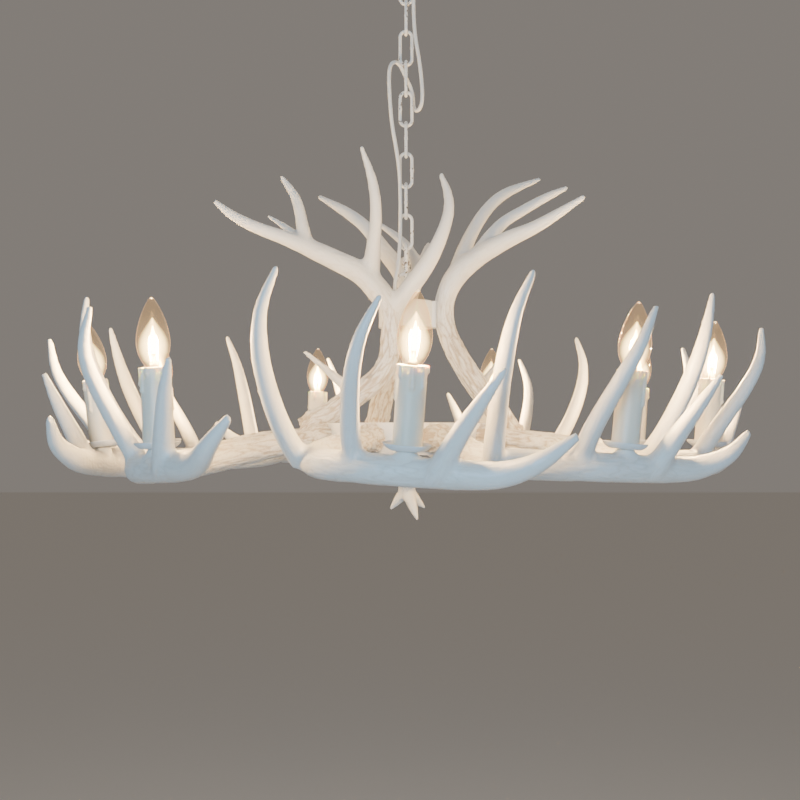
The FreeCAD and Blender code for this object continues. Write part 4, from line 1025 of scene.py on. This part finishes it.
class ChandelierSizes(bpy.types.PropertyGroup):
    glow: FloatProperty(name="Lamp glow", description="Strength of the glowing coils", default=60.0,
                        min=0.0)
    glare: FloatProperty(name="Glare", description="Dazzle round the coils", default=6.5, min=0.0)
    lamp_power: FloatProperty(name="Lamp power", description="Light from one lamp", default=14.0, min=0.0,
                              unit="POWER")


class ChandelierColours(bpy.types.PropertyGroup):
    resin: StringProperty(name="Resin", description="Paint on the cast antlers", default="#EFEDE8")
    resin_warm: StringProperty(name="Resin, warm", description="Where the paint is thinner",
                               default="#E6E0D4")
    # painted shade: the colour that the cuts of the grain are darkened toward
    resin_cut_shade: StringProperty(name="Resin cuts", description="Dust and shade in the grain",
                              default="#BCAB93")
    iron: StringProperty(name="Iron", description="Paint on the iron parts", default="#E9E6DF")
    chip: StringProperty(name="Chips", description="Bare metal under the paint", default="#5A4632")
    sleeve: StringProperty(name="Sleeve", description="Candle sleeves", default="#EFE6D2")


# ---- operators


class Cord(bpy.types.Operator):
    """Add the lamp cord"""
    bl_idname = "chandelier.cord"
    bl_label = "Cord"

    def execute(self, context):
        make_cord()
        return {"FINISHED"}


class RingAntlers(bpy.types.Operator):
    """Add the nine cast ring antlers"""
    bl_idname = "chandelier.ring_antlers"
    bl_label = "Ring antlers"

    def execute(self, context):
        make_ring_antlers()
        return {"FINISHED"}


class UprightAntlers(bpy.types.Operator):
    """Add the three upright antlers"""
    bl_idname = "chandelier.upright_antlers"
    bl_label = "Upright antlers"

    def execute(self, context):
        for plan in UPRIGHTS:
            make_upright(plan)
        return {"FINISHED"}


class Candles(bpy.types.Operator):
    """Add the drip pans and the candle sleeves"""
    bl_idname = "chandelier.candles"
    bl_label = "Candles"

    def execute(self, context):
        for number in range(CANDLES):
            make_pan(number)
            make_sleeve(number)
        return {"FINISHED"}


class Lamps(bpy.types.Operator):
    """Add the clear candle lamps"""
    bl_idname = "chandelier.lamps"
    bl_label = "Lamps"

    def execute(self, context):
        for number in range(CANDLES):
            make_lamp(number)
        return {"FINISHED"}


class ChainAndLoops(bpy.types.Operator):
    """Add the chain, the quick link and the two loops"""
    bl_idname = "chandelier.chain"
    bl_label = "Chain and loops"

    def execute(self, context):
        make_chain()
        make_loops()
        return {"FINISHED"}


class Ironwork(bpy.types.Operator):
    """Add the canopy, the collar and the hoop"""
    bl_idname = "chandelier.ironwork"
    bl_label = "Ironwork"

    def execute(self, context):
        make_canopy()
        make_collar()
        make_hoop()
        return {"FINISHED"}


class Finial(bpy.types.Operator):
    """Add the bottom finial"""
    bl_idname = "chandelier.finial"
    bl_label = "Finial"

    def execute(self, context):
        make_finial()
        return {"FINISHED"}


class Stage(bpy.types.Operator):
    """Add the floor, the light and the camera"""
    bl_idname = "chandelier.stage"
    bl_label = "Stage"

    def execute(self, context):
        make_stage()
        return {"FINISHED"}


OPERATORS = (Stage, Cord, RingAntlers, UprightAntlers, Candles, Lamps, ChainAndLoops, Ironwork, Finial)


class ChandelierPanel(bpy.types.Panel):
    """The chandelier's pieces"""
    bl_idname = "VIEW3D_PT_chandelier"
    bl_label = "Antler chandelier"
    bl_space_type = "VIEW_3D"
    bl_region_type = "UI"
    bl_category = "Chandelier"

    def draw(self, context):
        for group in (context.scene.chandelier_sizes, context.scene.chandelier_colours):
            for field in group.__annotations__:
                self.layout.prop(group, field)
        for operator in OPERATORS:
            self.layout.operator(operator.bl_idname)


CLASSES = (ChandelierSizes, ChandelierColours) + OPERATORS + (ChandelierPanel,)


def register():
    for item in CLASSES:
        bpy.utils.register_class(item)
    bpy.types.Scene.chandelier_sizes = PointerProperty(type=ChandelierSizes)
    bpy.types.Scene.chandelier_colours = PointerProperty(type=ChandelierColours)


def unregister():
    del bpy.types.Scene.chandelier_colours
    del bpy.types.Scene.chandelier_sizes
    for item in reversed(CLASSES):
        bpy.utils.unregister_class(item)


def main():
    register()
    for operator in OPERATORS:
        group, name = operator.bl_idname.split(".")
        getattr(getattr(bpy.ops, group), name)()


if __name__ == "__main__":
    main()
